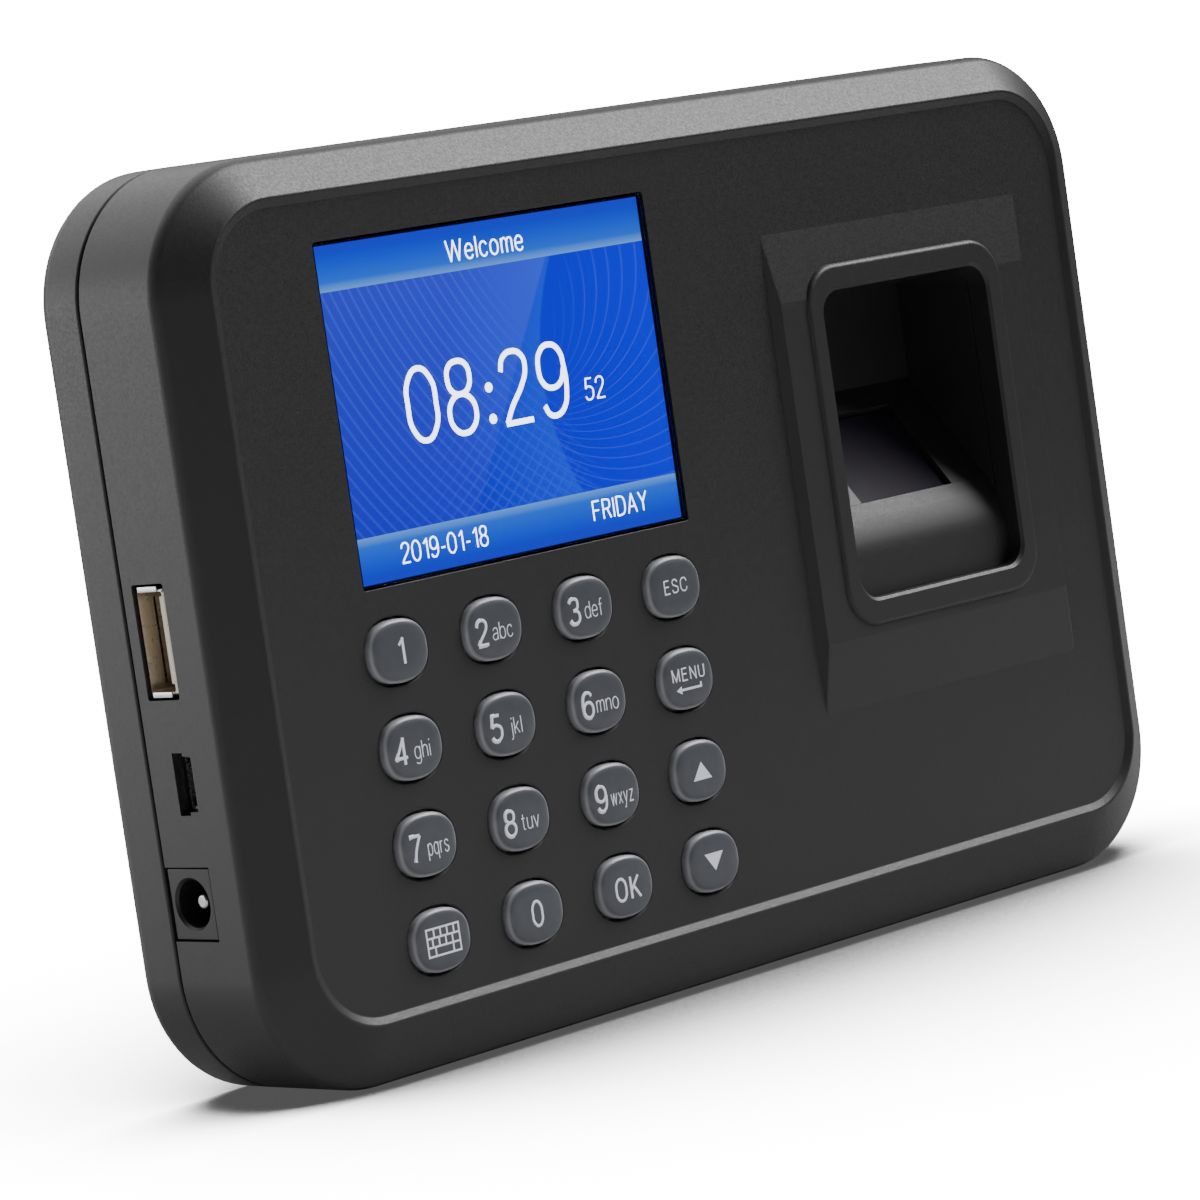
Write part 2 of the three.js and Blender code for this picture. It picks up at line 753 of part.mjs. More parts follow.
function mainBoard() {
  const { left, right, bottom, top, front, back } = BOARD;
  let board = block(left, right, front, back, bottom, top);
  const notch = BOARD_NOTCH;
  board = board.subtract(block(left - 1, notch.x, front - 1, back + 1, bottom - 1, notch.bottom));
  board = board.subtract(block(left - 1, notch.x, front - 1, back + 1, notch.top, top + 1));
  for (const [x, z] of BOARD_SCREWS) {
    board = board.subtract(bar(x, z, BOARD_SCREW.shank + SCREW_CLEARANCE, front - 1, back + 1, SCREW_STEPS));
  }
  add('main_board', board, BOARD_GREEN);
}

function boardParts() {
  const base = BOARD.back + GAP;
  for (const [name, chip] of Object.entries(CHIPS)) {
    const half = chip.width / 2;
    add(
      name,
      block(chip.x - half, chip.x + half, base, base + chip.thickness, chip.z - half, chip.z + half),
      BLACK_PLASTIC,
    );
  }
  const { x, z, radius, thickness, cup, cupFloor } = COIN_CELL;
  const holder = bar(x, z, cup, base, base + cupFloor + 2);
  const seat = bar(x, z, radius + GAP, base + cupFloor, base + cupFloor + 3);
  add('coin_cell_holder', holder.subtract(seat), BLACK_PLASTIC);
  const cellFront = base + cupFloor + GAP;
  add('coin_cell', bar(x, z, radius, cellFront, cellFront + thickness), STEEL);
}

// A square metal sleeve round a plastic tongue, with its mouth at the case's left side.
function sleeveSocket(name, socket, mouth, tongue) {
  const { bottom, top, front, back, length, wall } = socket;
  const end = mouth + length;
  const outer = block(mouth, end, front, back, bottom, top);
  const hollow = block(mouth - 1, end - 1, front + wall, back - wall, bottom + wall, top - wall);
  add(`${name}_shell`, outer.subtract(hollow), name === 'usb_a' ? GOLD : STEEL);
  const tip = mouth + tongue.setBack;
  add(
    `${name}_tongue`,
    block(tip, end - 1 - GAP, tongue.front, tongue.back, bottom + tongue.side, top - tongue.side),
    BLACK_PLASTIC,
  );
}

function dcJack() {
  const { bottom, top, front, back, length, bore, pin } = DC_JACK;
  const middle = FACE_Y + (front + back) / 2;
  const height = (bottom + top) / 2;
  const start = SIDE_X;
  const body = block(start, start + length, front, back, bottom, top);
  const barAlongX = (radius, from, to, steps) => {
    const geometry = new THREE.CylinderGeometry(radius, radius, to - from, steps);
    geometry.rotateZ(Math.PI / 2);
    geometry.translate((from + to) / 2, middle, height);
    return solid(geometry);
  };
  const floor = start + length - DC_JACK_END_WALL;
  const hole = barAlongX(bore, start - 1, floor, ROUND_STEPS);
  add('dc_jack_body', body.subtract(hole), BLACK_PLASTIC);
  add('dc_jack_pin', barAlongX(pin, start + DC_PIN_SET_BACK, floor - GAP, 12), STEEL);
}

function sockets() {
  sleeveSocket('usb_a', USB_A, SIDE_X, USB_A_TONGUE);
  sleeveSocket('mini_usb', MINI_USB, SIDE_X + MINI_USB_SET_BACK, MINI_USB_TONGUE);
  dcJack();
}

// ---------- speaker, sensor cable and screws ----------

function speaker() {
  const { x, z, radius, back, rim, depth, magnet, dust } = SPEAKER;
  const basket = bar(x, z, radius, back - rim, back);
  const cone = bar(x, z, magnet + 1, back - depth + 2, back - rim + 0.2, ROUND_STEPS, radius - 1);
  const motor = bar(x, z, magnet, back - depth, back - depth + 2.2);
  const dish = bar(x, z, dust, back - 1.2, back + 1, ROUND_STEPS, radius - 1.5);
  add('speaker', basket.add(cone).add(motor).subtract(dish), BLACK_PLASTIC);
}

// A flat cable from the main board's right edge to the sensor's board.
function sensorCable() {
  const outline = strip(CABLE_PATH, FLEX.thickness).map(([x, d]) => new THREE.Vector2(x, FACE_Y + d));
  const geometry = new THREE.ExtrudeGeometry(new THREE.Shape(outline), {
    depth: CABLE.width,
    bevelEnabled: false,
  });
  geometry.translate(0, 0, CABLE.bottom);
  add('sensor_cable', solid(geometry), FLEX_AMBER);
}

// A pan-head screw along the depth, its head facing the back.
function screw(name, x, z, size, underHead) {
  const shank = bar(x, z, size.shank, underHead - size.length, underHead + 0.2, SCREW_STEPS);
  const head = bar(x, z, size.head, underHead, underHead + size.headHeight, 14, size.head * 0.85);
  add(name, shank.add(head), STEEL);
}

function screws() {
  CASE_SCREWS.forEach(([x, z], i) => {
    screw(`case_screw_${i + 1}`, x, z, CASE_SCREW, COUNTERBORE.floor + GAP);
  });
  BOARD_SCREWS.forEach(([x, z], i) => {
    screw(`board_screw_${i + 1}`, x, z, BOARD_SCREW, BOARD.back + GAP);
  });
}

frontShell();
rearCover();
displayWindow();
lcdPanel();
lcdFrame();
lcdFlex();
keys();
keypadMat();
fingerGuide();
fingerSensor();
mainBoard();
boardParts();
sockets();
speaker();
sensorCable();
screws();

export default SCENE;
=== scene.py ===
"""Looks of a fingerprint time terminal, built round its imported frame.

Metres, +X to the user's right, +Y from the face into the case, +Z up.  Depths are counted in
millimetres from the sunk face panel towards the back.
"""
import json
import math

import bmesh
import bpy
from mathutils import Matrix, Vector


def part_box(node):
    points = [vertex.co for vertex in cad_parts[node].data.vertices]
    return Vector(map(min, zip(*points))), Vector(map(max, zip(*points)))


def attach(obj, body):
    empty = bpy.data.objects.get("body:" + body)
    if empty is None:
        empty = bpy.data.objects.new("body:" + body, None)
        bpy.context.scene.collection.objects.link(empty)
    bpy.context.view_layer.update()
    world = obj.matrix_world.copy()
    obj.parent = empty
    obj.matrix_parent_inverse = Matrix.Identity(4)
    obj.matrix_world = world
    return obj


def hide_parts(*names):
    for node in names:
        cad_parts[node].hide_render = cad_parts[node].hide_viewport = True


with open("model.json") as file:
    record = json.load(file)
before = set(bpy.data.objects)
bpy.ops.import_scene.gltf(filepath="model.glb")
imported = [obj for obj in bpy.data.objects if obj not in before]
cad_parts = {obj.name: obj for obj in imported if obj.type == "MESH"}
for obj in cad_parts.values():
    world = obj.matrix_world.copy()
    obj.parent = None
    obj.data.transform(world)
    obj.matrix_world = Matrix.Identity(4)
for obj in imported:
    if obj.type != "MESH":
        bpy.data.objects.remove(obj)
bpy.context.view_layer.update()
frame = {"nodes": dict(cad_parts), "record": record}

MM = 0.001
NODES = frame["nodes"]
HOUSING = "housing"


def node_box(name):
    """Left, right, front, back, bottom and top of a CAD node in millimetres, depths from the panel."""
    low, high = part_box(name)
    return (low.x / MM, high.x / MM, low.y / MM - PANEL_Y, high.y / MM - PANEL_Y,
            low.z / MM, high.z / MM)


def node_middle(name):
    """A CAD node's middle, across and up, in millimetres."""
    left, right, _, _, bottom, top = node_box(name)
    return (left + right) / 2, (bottom + top) / 2


# ---------- sizes, worked out from the frame (millimetres) ----------

RING_PROUD = 1.5
PANEL_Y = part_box("front_shell")[0].y / MM + RING_PROUD
CASE_LEFT, CASE_RIGHT, _, SEAM, CASE_BOTTOM, CASE_TOP = node_box("front_shell")
CASE_BACK = node_box("rear_cover")[3] - 0.002
CASE_BOX = (CASE_LEFT, CASE_RIGHT, CASE_BOTTOM, CASE_TOP)
COVER_FRONT = SEAM + 0.3
COVER_EDGE = 3
COVER_SKIN = 3.4
SHELL_EDGE = 0.35
CASE_CORNER = 17.3
WALL = 2.2
CHAMFER_DEPTH = 3.3
CHAMFER_DRAFT = 0.3
RIM_PROUD = 0.6
RIM_SIDE = 6.5
RIM_BOTTOM, RIM_TOP = CASE_BOTTOM + 8, CASE_TOP - 5.5
RIM_WIDTH = 0.6
CORNER_STEPS = 20

WINDOW = node_box("display_window")
WINDOW_GAP = 0.3
WINDOW_BLACK_EDGE = 0.04
SCREEN_CUT = (WINDOW[0] - WINDOW_GAP, WINDOW[1] + WINDOW_GAP, WINDOW[4] - WINDOW_GAP, WINDOW[5] + WINDOW_GAP)
LCD_FACE = node_box("lcd_panel")[2]
SCREEN = (WINDOW[0] + 0.15, WINDOW[1] - 0.15, WINDOW[4] + 0.15, WINDOW[5] - 0.15)
SCREEN_WIDTH, SCREEN_HEIGHT = SCREEN[1] - SCREEN[0], SCREEN[3] - SCREEN[2]

PAD = (17.4, 70.0, 31.6, 97.6)
PAD_PROUD = 1.1
PAD_SIDE_SLOPE = 1.2
PAD_END_SLOPE = 9.5
PAD_END_ROUND = 3
PAD_RIGHT_ROUND = 0.8
LONG_RUN = 10 * MM
RING = (23.4, 63.6, 42.1, 92.3)
RING_CORNER = 6
WELL = (26.6, 60.4, 45.9, 88.7)
WELL_CORNER = 3.4
WELL_BACK = 16
RAMP_ANGLE = math.radians(50.6)
RAMP_FOOT = (3.7, 58.6)
SILL_PROFILE = ((0.9, 51.4), (1.02, 52.6), (1.3, 53.7), (1.75, 54.9), (2.5, 56.6))
TROUGH = (18.9, 15.5, 6)

KEYHOLE_X, KEYHOLE_Z = 46, 90
KEYHOLE_RADIUS, KEYHOLE_NECK, KEYHOLE_RISE = 4.6, 2.3, 9
GRILLE_SLOTS, GRILLE_PITCH, GRILLE_HALF_LENGTH, GRILLE_HALF_WIDTH = 5, 3.6, 8.5, 0.9
LABEL = (-30, 30, 44, 76)
LABEL_DEPTH = 0.4
THROUGH_COVER = (CASE_BACK - WALL - 1, CASE_BACK + 1)

KEY_TEXT = {
    "1": ("1", ""), "2": ("2", "abc"), "3": ("3", "def"), "esc": ("", "ESC"),
    "4": ("4", "ghi"), "5": ("5", "jkl"), "6": ("6", "mno"), "menu": ("", "MENU"),
    "7": ("7", "pqrs"), "8": ("8", "tuv"), "9": ("9", "wxyz"), "up": ("", ""),
    "input": ("", ""), "0": ("0", ""), "ok": ("OK", ""), "down": ("", ""),
}
KEY_FLANGE_MARGIN = 0.7
KEY_CLEARANCE = 0.35
OVAL_SHARE = 49
OVAL_PROFILE = 0.54
KEY_FACE = -0.88
INK_THICKNESS = 0.06

# The floor's white as the camera sees it, the least of it under the painted shadow, how far that painted
# shadow reaches, and the soft world light.
FLOOR_WHITE = 18
FLOOR_SHADOW = 0.09
SHADOW_REACH = 0.3
WORLD_SOFT = 0.07


# ---------- working by hand: selecting, adding, shaping ----------

def alone(piece):
    """Leaves only this piece selected and active, in object mode."""
    if bpy.context.object and bpy.context.object.mode != "OBJECT":
        bpy.ops.object.mode_set(mode="OBJECT")
    bpy.ops.object.select_all(action="DESELECT")
    piece.select_set(True)
    bpy.context.view_layer.objects.active = piece


def edit(piece):
    """Opens a piece for editing with everything selected."""
    alone(piece)
    bpy.ops.object.mode_set(mode="EDIT")
    bpy.ops.mesh.select_all(action="SELECT")


def leave():
    bpy.ops.object.mode_set(mode="OBJECT")


def named(name):
    piece = bpy.context.object
    piece.name = name
    piece.data.name = name
    return piece


def settle(piece):
    """Puts a piece's place into its mesh, so that its object sits at the origin."""
    alone(piece)
    bpy.ops.object.transform_apply(location=True, rotation=True, scale=True)
    return piece


def choose(kind, test):
    """In edit mode, selects only the faces or edges that pass a test."""
    bpy.ops.mesh.select_mode(type=kind)
    bpy.ops.mesh.select_all(action="DESELECT")
    mesh = bmesh.from_edit_mesh(bpy.context.object.data)
    parts = mesh.faces if kind == "FACE" else mesh.edges
    for part in parts:
        if test(part):
            part.select_set(True)
    mesh.select_flush_mode()
    bmesh.update_edit_mesh(bpy.context.object.data)


def at_depth(depth, slack=0.02):
    """A test for faces or edges that lie wholly at one depth."""
    place = (PANEL_Y + depth) * MM
    return lambda part: all(abs(v.co.y - place) < slack * MM for v in part.verts)


def edge_run(edge):
    """How far an edge runs each way, in metres, without sign."""
    first, last = (vertex.co for vertex in edge.verts)
    return Vector([abs(a - b) for a, b in zip(first, last)])


def outline_edge(depth, slack=0.02):
    """A test for the edges of an outline at one depth where two faces meet at an angle."""
    flat = at_depth(depth, slack)
    return lambda edge: flat(edge) and len(edge.link_faces) == 2 and edge.calc_face_angle(0) > 0.2


def push(depth_change):
    """Extrudes the chosen face by a change of depth."""
    bpy.ops.mesh.extrude_region_move(TRANSFORM_OT_translate={"value": (0, depth_change * MM, 0)})


def stretch(across, upright):
    """Scales what is chosen about its own middle, across and upright."""
    bpy.ops.transform.resize(value=(across, 1, upright))


def spot(x, depth, z):
    """A place given in millimetres, as the frame has it."""
    return x * MM, (PANEL_Y + depth) * MM, z * MM


def plate(name, left, right, bottom, top, corner, depth, steps=CORNER_STEPS, oval=False):
    """A flat sheet with rounded corners, or a squarish oval, that faces the user."""
    bpy.ops.object.select_all(action="DESELECT")
    bpy.ops.mesh.primitive_plane_add(
        size=MM,
        location=spot((left + right) / 2, depth, (bottom + top) / 2),
        rotation=(math.pi / 2, 0, 0),
    )
    piece = named(name)
    piece.scale = (right - left, top - bottom, 1)
    settle(piece)
    edit(piece)
    if oval:
        bpy.ops.mesh.bevel(offset_type="PERCENT", offset_pct=OVAL_SHARE, affect="VERTICES", segments=steps,
                           profile=OVAL_PROFILE)
    elif corner:
        bpy.ops.mesh.bevel(offset=corner * MM, affect="VERTICES", segments=steps, profile=0.5)
    return piece


def rounded_prism(name, box, corner, front, back, steps=CORNER_STEPS, oval=False):
    """A closed prism between two depths, left in edit mode with its front face chosen."""
    left, right, bottom, top = box
    piece = plate(name, left, right, bottom, top, corner, back, steps, oval)
    push(front - back)
    bpy.ops.mesh.select_all(action="SELECT")
    bpy.ops.mesh.normals_make_consistent(inside=False)
    choose("FACE", at_depth(front))
    return piece


def bevel_outline(depth, size, segments=3):
    """Rounds the edges of the outline at one depth."""
    choose("EDGE", outline_edge(depth))
    bpy.ops.mesh.bevel(offset=size * MM, segments=segments, affect="EDGES", profile=0.5)


def combine(piece, other, operation):
    """Joins or cuts a closed piece with another, which is used up."""
    alone(piece)
    step = piece.modifiers.new(operation.lower(), "BOOLEAN")
    step.operation = operation
    step.object = other
    step.solver = "EXACT"
    bpy.ops.object.modifier_apply(modifier=step.name)
    bpy.data.objects.remove(other, do_unlink=True)
    return piece


def cut(piece, cutter):
    return combine(piece, cutter, "DIFFERENCE")


def unite(piece, other):
    return combine(piece, other, "UNION")


def joined(pieces):
    """Makes one object of several."""
    alone(pieces[0])
    for piece in pieces:
        piece.select_set(True)
    bpy.ops.object.join()
    return bpy.context.object


def outline_solid(name, outline, run):
    """A solid with straight sides: an outline given by its corners (across, depth, up), run one way."""
    mesh = bpy.data.meshes.new(name)
    points = [spot(*corner) for corner in outline]
    mesh.from_pydata(points, [], [list(range(len(points)))])
    piece = bpy.data.objects.new(name, mesh)
    bpy.context.scene.collection.objects.link(piece)
    edit(piece)
    bpy.ops.mesh.extrude_region_move(TRANSFORM_OT_translate={"value": tuple(way * MM for way in run)})
    bpy.ops.mesh.select_all(action="SELECT")
    bpy.ops.mesh.normals_make_consistent(inside=False)
    leave()
    return piece


def bevel_all(piece, size, segments=2, angle=35):
    """Rounds every edge of a piece that is sharper than an angle."""
    alone(piece)
    step = piece.modifiers.new("round", "BEVEL")
    step.width = size * MM
    step.segments = segments
    step.limit_method = "ANGLE"
    step.angle_limit = math.radians(angle)
    bpy.ops.object.modifier_apply(modifier=step.name)


def smooth(piece, angle=32):
    """Smooth shading that keeps flat faces flat and hard edges hard."""
    alone(piece)
    bpy.ops.object.shade_smooth_by_angle(angle=math.radians(angle))
    step = piece.modifiers.new("flat faces", "WEIGHTED_NORMAL")
    step.keep_sharp = True
    bpy.ops.object.modifier_apply(modifier=step.name)
    return piece


def coat(piece, material, body=HOUSING, stands_for=()):
    """Gives a finished piece its material, its body and the CAD nodes it stands for."""
    piece.data.materials.clear()
    piece.data.materials.append(material)
    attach(piece, body)
    if stands_for:
        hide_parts(*stands_for)
    return piece


def round_bar(name, x, z, radius, front, back, vertices=48):
    """A round bar that runs into the case."""
    middle = spot(x, (front + back) / 2, z)
    return bar_along(name, radius, back - front, middle, (math.pi / 2, 0, 0), vertices)


def side_bar(name, radius, left, right, depth, z, vertices=48):
    """A round bar that runs across the case."""
    middle = spot((left + right) / 2, depth, z)
    return bar_along(name, radius, right - left, middle, (0, math.pi / 2, 0), vertices)


def bar_along(name, radius, length, middle, turn, vertices):
    bpy.ops.object.select_all(action="DESELECT")
    bpy.ops.mesh.primitive_cylinder_add(vertices=vertices, radius=radius * MM, depth=length * MM,
                                        location=middle, rotation=turn)
    return settle(named(name))


def block(name, left, right, front, back, bottom, top):
    """A square-edged block, to be rounded or used as a cutter."""
    bpy.ops.object.select_all(action="DESELECT")
    bpy.ops.mesh.primitive_cube_add(
        size=MM,
        location=spot((left + right) / 2, (front + back) / 2, (bottom + top) / 2),
    )
    piece = named(name)
    piece.scale = (right - left, back - front, top - bottom)
    return settle(piece)


# ---------- materials ----------

class Finish:
    """A node material under construction, with short calls for the nodes used here."""

    def __init__(self, name):
        self.material = bpy.data.materials.new(name)
        self.material.use_nodes = True
        self.tree = self.material.node_tree
        self.shader = self.tree.nodes["Principled BSDF"]
        self.place = self.tree.nodes.new("ShaderNodeTexCoord").outputs["Object"]

    def set(self, **values):
        for socket, value in values.items():
            self.shader.inputs[socket.replace("_", " ")].default_value = value
        return self

    def add(self, kind, **settings):
        node = self.tree.nodes.new(kind)
        for key, value in settings.items():
            setattr(node, key, value)
        return node

    def join(self, output, socket):
        self.tree.links.new(output, socket)

    def noise(self, size_mm, detail=2.0, rough=0.5):
        node = self.add("ShaderNodeTexNoise")
        node.inputs["Scale"].default_value = 1 / (size_mm * MM)
        node.inputs["Detail"].default_value = detail
        node.inputs["Roughness"].default_value = rough
        self.join(self.place, node.inputs["Vector"])
        return node.outputs["Fac"]

    def spread(self, value, low, high, start=0.3, end=0.7):
        node = self.add("ShaderNodeMapRange")
        for socket, number in (("From Min", start), ("From Max", end), ("To Min", low), ("To Max", high)):
            node.inputs[socket].default_value = number
        self.join(value, node.inputs["Value"])
        return node.outputs["Result"]

    def math(self, operation, *values, clamp=False):
        node = self.add("ShaderNodeMath", operation=operation, use_clamp=clamp)
        for i, value in enumerate(values):
            if isinstance(value, (int, float)):
                node.inputs[i].default_value = value
            else:
                self.join(value, node.inputs[i])
        return node.outputs[0]

    def plus(self, first, second, clamp=False):
        return self.math("ADD", first, second, clamp=clamp)

    def minus(self, first, second):
        return self.math("SUBTRACT", first, second)

    def times(self, first, second):
        return self.math("MULTIPLY", first, second)

    def size(self, value):
        return self.math("ABSOLUTE", value)

    def parts(self, vector):
        """The three parts of a vector, as outputs named X, Y and Z."""
        node = self.add("ShaderNodeSeparateXYZ")
        self.join(vector, node.inputs[0])
        return node.outputs

    def mix(self, factor, first, second):
        node = self.add("ShaderNodeMix", data_type="RGBA")
        colour_inputs = [s for s in node.inputs if s.type == "RGBA"]
        if isinstance(factor, (int, float)):
            node.inputs[0].default_value = factor
        else:
            self.join(factor, node.inputs[0])
        for value, socket in ((first, colour_inputs[0]), (second, colour_inputs[1])):
            if isinstance(value, tuple):
                socket.default_value = (*value, 1)
            else:
                self.join(value, socket)
        return [s for s in node.outputs if s.type == "RGBA"][0]

    def colour(self, output):
        self.join(output, self.shader.inputs["Base Color"])

    def roughness(self, output):
        self.join(output, self.shader.inputs["Roughness"])

    def bump(self, height, depth_mm, strength=1.0):
        node = self.add("ShaderNodeBump")
        node.inputs["Distance"].default_value = depth_mm * MM
        node.inputs["Strength"].default_value = strength
        self.join(height, node.inputs["Height"])
        self.join(node.outputs["Normal"], self.shader.inputs["Normal"])
        return self


def moulded(name, colour, rough, grain=0.35, grain_depth=0.012, mottle=0.12):
    """Moulded plastic: fine spark texture, faint mottling and slightly uneven sheen."""
    finish = Finish(name)
    dark = tuple(c * (1 - mottle) for c in colour)
    light = tuple(c * (1 + mottle) for c in colour)
    broad = finish.noise(14, 3)
    fine = finish.noise(grain, 2, 0.6)
    finish.colour(finish.mix(finish.math("MULTIPLY_ADD", broad, 0.6, finish.times(fine, 0.4)), dark, light))
    finish.roughness(finish.spread(fine, rough - 0.06, rough + 0.06))
    return finish.bump(fine, grain_depth).material


def plated(name, colour, rough, brush=0.8):
    """Plated sheet metal with faint drawing marks."""
    finish = Finish(name).set(Metallic=1.0)
    marks = finish.noise(brush, 4, 0.7)
    dark = tuple(c * 0.9 for c in colour)
    finish.colour(finish.mix(finish.spread(marks, 0, 1), dark, colour))
    finish.roughness(finish.spread(marks, rough - 0.05, rough + 0.05))
    return finish.bump(marks, 0.0008).material


def laminate(name):
    """Green solder mask with a faint trace pattern."""
    finish = Finish(name).set(Coat_Weight=0.4)
    weave = finish.noise(1.6, 2)
    traces = finish.spread(weave, 0, 1, 0.49, 0.51)
    finish.colour(finish.mix(traces, (0.01, 0.1, 0.035), (0.02, 0.16, 0.06)))
    finish.roughness(finish.spread(weave, 0.3, 0.45))
    return finish.bump(traces, 0.03).material


def clear_sheet(name):
    """Clear polished window with a thin blackened edge."""
    finish = Finish(name).set(IOR=1.46)
    haze = finish.noise(20, 2)
    from_middle = finish.minus(finish.parts(finish.place)["X"], (WINDOW[0] + WINDOW[1]) / 2 * MM)
    half_width = (WINDOW[1] - WINDOW[0]) / 2
    inside = finish.math("LESS_THAN", finish.size(from_middle), (half_width - WINDOW_BLACK_EDGE) * MM)
    finish.join(inside, finish.shader.inputs["Transmission Weight"])
    sheet = finish.mix(haze, (0.97, 0.98, 1.0), (1.0, 1.0, 1.0))
    finish.colour(finish.mix(inside, (0.002, 0.002, 0.002), sheet))
    finish.roughness(finish.spread(haze, 0.01, 0.03))
    return finish.material


def glass_painted_violet_reflection(name):
    """The sensor's optical window: nearly black, with a faint violet cast that is a painted reflection."""
    finish = Finish(name).set(Specular_IOR_Level=0.06)
    cloud = finish.noise(5, 3)
    # Painted reflection: the faint uneven violet stands in for what the glass reflects, while its real
    # reflection is kept weak.
    finish.colour(finish.mix(cloud, (0.012, 0.009, 0.016), (0.026, 0.02, 0.034)))
    finish.roughness(finish.spread(cloud, 0.42, 0.5))
    return finish.material


def smoked_key(name):
    """Smoked translucent key plastic with a painted pale rim, from the mesh's own rim attribute: painted
    light caught along the key's translucent edge.
    """
    finish = Finish(name).set(Coat_Weight=0.25, Coat_Roughness=0.2, Subsurface_Weight=0.15,
                              Subsurface_Radius=(0.0012, 0.0012, 0.0014))
    rim = finish.add("ShaderNodeAttribute", attribute_name="rim").outputs["Fac"]
    cloud = finish.noise(1.6, 3)
    fine = finish.noise(0.25, 2)
    face = finish.mix(cloud, (0.06, 0.064, 0.076), (0.085, 0.09, 0.104))
    # Painted light: the pale colour laid along the rim stands in for light caught in the key's translucent
    # edge.
    finish.colour(finish.mix(rim, face, (0.36, 0.365, 0.39)))
    finish.roughness(finish.spread(fine, 0.34, 0.46))
    return finish.bump(fine, 0.005).material


def print_ink(name, colour, glow=0.0):
    """Printed legend or lit character: one ink with a faint unevenness, and a glow when one is given: real
    light for the lit screen's characters, painted light for the key legends.
    """
    finish = Finish(name)
    cloud = finish.noise(0.4, 2)
    ink = finish.mix(cloud, tuple(c * 0.88 for c in colour), colour)
    finish.colour(ink)
    finish.roughness(finish.spread(cloud, 0.4, 0.55))
    if glow:
        finish.join(ink, finish.shader.inputs["Emission Color"])
        finish.set(Emission_Strength=glow)
    return finish.material


def lit_display(name):
    """The lit picture: deep blue with fine curved lines, a painted pale reflection over its left part, and
    two azure bars.
    """
    finish = Finish(name)
    fit = finish.add("ShaderNodeMapping")
    fit.inputs["Scale"].default_value = (1 / (SCREEN_WIDTH * MM), 1, 1 / (SCREEN_HEIGHT * MM))
    fit.inputs["Location"].default_value = (-SCREEN[0] / SCREEN_WIDTH, 0, -SCREEN[2] / SCREEN_HEIGHT)
    finish.join(finish.place, fit.inputs["Vector"])
    picture = finish.parts(fit.outputs["Vector"])
    u, v = picture["X"], picture["Z"]

    def offsets(centre_u, centre_v, squeeze=1.0):
        """How far right of, above and away from a centre each point of the picture is."""
        right = finish.minus(u, centre_u)
        above = finish.times(finish.minus(v, centre_v), squeeze)
        away = finish.math("SQRT", finish.plus(finish.times(right, right), finish.times(above, above)))
        return right, above, away

    def thin_lines(value, count, width):
        saw = finish.math("FRACT", finish.times(value, count))
        return finish.spread(finish.size(finish.minus(saw, 0.5)), 1, 0, 0.0, width)

    def rings(centre_u, centre_v, count, width, squeeze):
        return thin_lines(offsets(centre_u, centre_v, squeeze)[2], count, width)

    def fan(centre_u, centre_v, count, width, twist):
        right, above, away = offsets(centre_u, centre_v)
        angle = finish.math("ARCTAN2", above, right)
        return thin_lines(finish.math("MULTIPLY_ADD", away, twist, angle), count, width)

    left_side = finish.spread(finish.math("MULTIPLY_ADD", v, 0.35, u), 1, 0, 0.72, 0.84)
    right_side = finish.spread(finish.math("MULTIPLY_ADD", v, -0.35, u), 0, 1, 0.42, 0.56)
    waves = rings(1.35, 1.5, 40, 0.2, 0.8)
    crossing = rings(-0.55, 1.9, 40, 0.16, 0.7)
    near_middle = finish.spread(finish.size(finish.minus(u, 0.5)), 1, 0.1, 0.08, 0.3)
    more_waves = finish.times(finish.times(crossing, near_middle), finish.spread(v, 1, 0, 0.2, 0.6))
    all_waves = finish.times(finish.plus(waves, more_waves, clamp=True), left_side)
    spokes = finish.times(fan(0.55, 0.42, 9, 0.1, -1.6), right_side)
    lines = finish.plus(all_waves, spokes, clamp=True)
    ground = finish.mix(finish.spread(u, 0, 1, 0.1, 1.0), (0.0, 0.0, 0.75), (0.0, 0.0, 1.1))
    drawn = finish.mix(finish.times(lines, 0.42), ground, (0.05, 0.13, 1.25))
    off_middle = finish.minus(v, 0.5)
    fold_edge = finish.math("MULTIPLY_ADD", finish.times(off_middle, off_middle), 0.57, 0.63)
    left_of_fold = finish.minus(fold_edge, u)
    fold = finish.times(finish.spread(left_of_fold, 0, 1, 0.0, 0.008),
                        finish.spread(left_of_fold, 1, 0, 0.0, 0.3))
    drawn = finish.mix(finish.times(fold, 0.5), drawn, (0.0, 0.11, 1.25))
    # Painted reflection: a pale wedge over the left part of the picture, stronger towards the top, mixed into
    # the emitted colour to stand in for light reflected in the window.
    reflection_edge = finish.math("MULTIPLY_ADD", v, -0.447, u)
    painted_reflection = finish.times(finish.spread(reflection_edge, 1, 0, 0.3, 0.306), finish.spread(v, 0.1, 1, 0.0, 1.0))
    drawn = finish.mix(finish.times(painted_reflection, 0.12), drawn, (0.35, 0.5, 1.2))

    def bar(drawn, position):
        inside = finish.math("GREATER_THAN", position, 0.0)
        shade = finish.mix(finish.spread(position, 0, 1, 0.0, 0.115), (0.01, 0.2, 1.1), (0.0, 0.03, 0.9))
        edge = finish.spread(position, 1, 0, 0.0, 0.028)
        shade = finish.mix(finish.times(edge, 0.6), shade, (0.25, 0.6, 1.1))
        return finish.mix(inside, drawn, shade)

    drawn = bar(drawn, finish.minus(v, 0.862))
    drawn = bar(drawn, finish.minus(0.14, v))
    inside = finish.times(finish.spread(finish.size(finish.minus(u, 0.5)), 1, 0, 0.4975, 0.4985),
                          finish.spread(finish.size(finish.minus(v, 0.5)), 1, 0, 0.4965, 0.498))
    drawn = finish.mix(inside, (0.0, 0.0, 0.002), drawn)
    grain = finish.noise(0.25, 1)
    finish.roughness(finish.spread(grain, 0.3, 0.36))
    finish.join(drawn, finish.shader.inputs["Emission Color"])
    finish.set(Base_Color=(0.002, 0.003, 0.02, 1), Emission_Strength=0.9, Specular_IOR_Level=0.1)
    return finish.material


